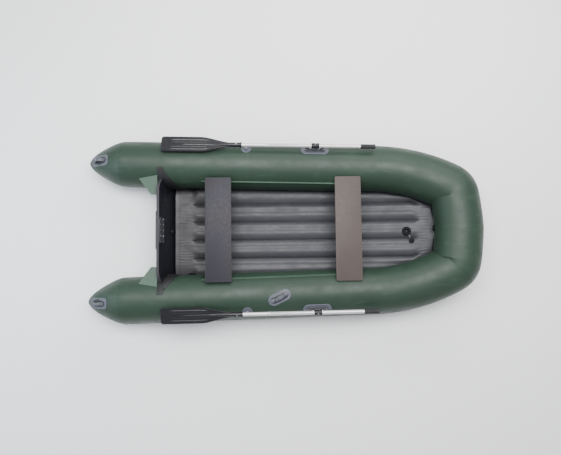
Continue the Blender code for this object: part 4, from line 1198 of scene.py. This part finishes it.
def make_oars(paints):
    """Each oar with its oarlock, and the patch and hook that keep it in place when stowed."""
    for name, side in SIDES.items():
        make_oarlock(name, side, paints)
        oar = oar_frame(name, side)
        make_blade(name, oar, paints)
        make_shafts(name, oar, paints)
        make_clamp(name, oar, paints)
        soft_patch(name + "_rest_patch_rim", side, OAR_REST_X, OARLOCK_ANGLE, (0.082, 0.082), 0.040,
                   paints["patch"], [name + "_oar_rest_patch"])
        keep_cad(name + "_oar_rest_hook", paints["rest"], 0.0012)


# ---- light and ground ----
LAMP_TARGET = Vector((0.0, 0.0, 0.2))


def make_studio():
    """White ground, a broad light overhead, a soft one from the port bow and a cool one astern."""
    corners = [(-14.0, -14.0, 0.0), (14.0, -14.0, 0.0), (14.0, 14.0, 0.0), (-14.0, 14.0, 0.0)]
    plane = new_object("ground", new_mesh("ground", [(corners, [range(4)])]))
    plane.data.materials.append(Paint("ground", (1.0, 1.0, 1.0), 0.9).mat)
    world = bpy.data.worlds.new("studio")
    world.use_nodes = True
    sky = world.node_tree.nodes["Background"]
    sky.inputs["Color"].default_value = (0.95, 0.97, 1.0, 1.0)
    sky.inputs["Strength"].default_value = 0.62
    bpy.context.scene.world = world
    lamps = (("overhead", (0.1, 1.2, 5.4), (5.0, 2.2), 480.0, (1.0, 1.0, 1.0)),
             ("port_side", (1.2, 3.1, 2.3), (4.4, 1.4), 90.0, (1.0, 1.0, 1.0)),
             ("astern", (-3.6, -0.3, 2.1), (2.8, 1.6), 60.0, (0.74, 0.87, 1.0)))
    for name, place, size, power, colour in lamps:
        lamp = bpy.data.lights.new(name, "AREA")
        lamp.shape = "RECTANGLE"
        lamp.size, lamp.size_y = size
        lamp.energy = power
        lamp.color = colour
        light = new_object(name, lamp)
        light.location = place
        light.rotation_euler = (Vector(place) - LAMP_TARGET).to_track_quat("Z", "Y").to_euler()


# ---- assembly ----
def build():
    make_camera()
    make_studio()
    hull = coated_fabric("hull_fabric", HULL_GREEN, HULL_SHADE, 0.49)
    tape = coated_fabric("seam_tape", changed(HULL_GREEN, 1.08), HULL_SHADE, 0.47)
    # Dark cloth for the lower panels and the floor's bottom, also laid as a band of painted shade on the
    # inner walls.
    dark_cloth_and_shade = coated_fabric("dark_panel_and_painted_shade", (0.018, 0.030, 0.024), (0.010, 0.018, 0.015), 0.5)
    flap = coated_fabric("flap_fabric", (0.060, 0.100, 0.072), (0.046, 0.080, 0.058), 0.48)
    # The rail bead is paler than the hull: a painted highlight where the bead catches the light.
    rail = coated_fabric("rail_fabric_painted_highlight", changed(HULL_GREEN, 2.0), HULL_GREEN, 0.42)
    floor = coated_fabric("floor_fabric", (0.042, 0.042, 0.048), (0.031, 0.032, 0.038), 0.46)
    # Painted shade: the floor is darker towards the stern, where less light reaches it.
    painted_stern_shade = floor.ramp(floor.part(floor.place, "X"), -0.15, -0.75, 0.0, 0.75)
    floor.tint(painted_stern_shade, (0.026, 0.0245, 0.027))
    border = coated_fabric("floor_border", (0.040, 0.038, 0.042), (0.028, 0.028, 0.032), 0.42)
    # Black for the small black parts, and for the pads painted as shade under the handle straps.
    black = moulded("black_plastic_and_painted_shade", (0.0045, 0.0045, 0.006), 0.42)
    patch = moulded("patch_rubber", (0.082, 0.086, 0.112), 0.50)
    steel = brushed_metal("steel", (0.62, 0.62, 0.64), 0.26)
    make_tubes(hull)
    make_seams(tape, dark_cloth_and_shade, moulded("seam_line", changed(HULL_GREEN, 0.62), 0.5))
    make_strakes(moulded("strake_rubber", (0.030, 0.034, 0.036), 0.55), black)
    make_floor(floor, moulded("weld_line", (0.020, 0.020, 0.025), 0.55), border)
    make_gussets(flap, tape)
    make_transom(painted_transom(), moulded("plate_plastic", (0.022, 0.022, 0.028), 0.45), steel,
                 moulded("holder_rubber", (0.005, 0.005, 0.006), 0.60))
    make_valves(moulded("valve_black", (0.0035, 0.0035, 0.0045), 0.62, shine=0.18),
                moulded("valve_grey", (0.020, 0.021, 0.028), 0.5, shine=0.3),
                moulded("valve_flange", (0.006, 0.007, 0.008), 0.65, shine=0.18),
                moulded("valve_strap", (0.16, 0.16, 0.18), 0.5))
    seats = {"aft": film_faced_board("seat_dark", (0.024, 0.020, 0.024), (0.020, 0.023, 0.034),
                                     (0.20, 0.15, 0.12)),
             "forward": film_faced_board("seat_warm", (0.074, 0.058, 0.052), (0.062, 0.048, 0.044),
                                         (0.26, 0.19, 0.14))}
    make_seats(seats, moulded("slider_plastic", (0.03, 0.034, 0.034), 0.5), steel, rail)
    make_handles(patch, moulded("strap_rubber", (0.070, 0.076, 0.092), 0.46), black)
    make_oars({"patch": patch,
               "steel": steel,
               "dark": black,
               "bracket": moulded("bracket_plastic", (0.045, 0.047, 0.055), 0.42),
               "clip": moulded("clip_plastic", (0.30, 0.30, 0.34), 0.40),
               "rest": moulded("rest_plastic", (0.20, 0.21, 0.24), 0.40),
               "blade": moulded("blade_plastic", (0.007, 0.0066, 0.009), 0.36),
               "shaft": brushed_metal("shaft_aluminium", (0.66, 0.65, 0.65), 0.36, 0.55),
               "grip": moulded("grip_foam", (0.016, 0.016, 0.018), 0.75, grain=220.0)})
    keep_cad("bottom_skin", dark_cloth_and_shade)


build()
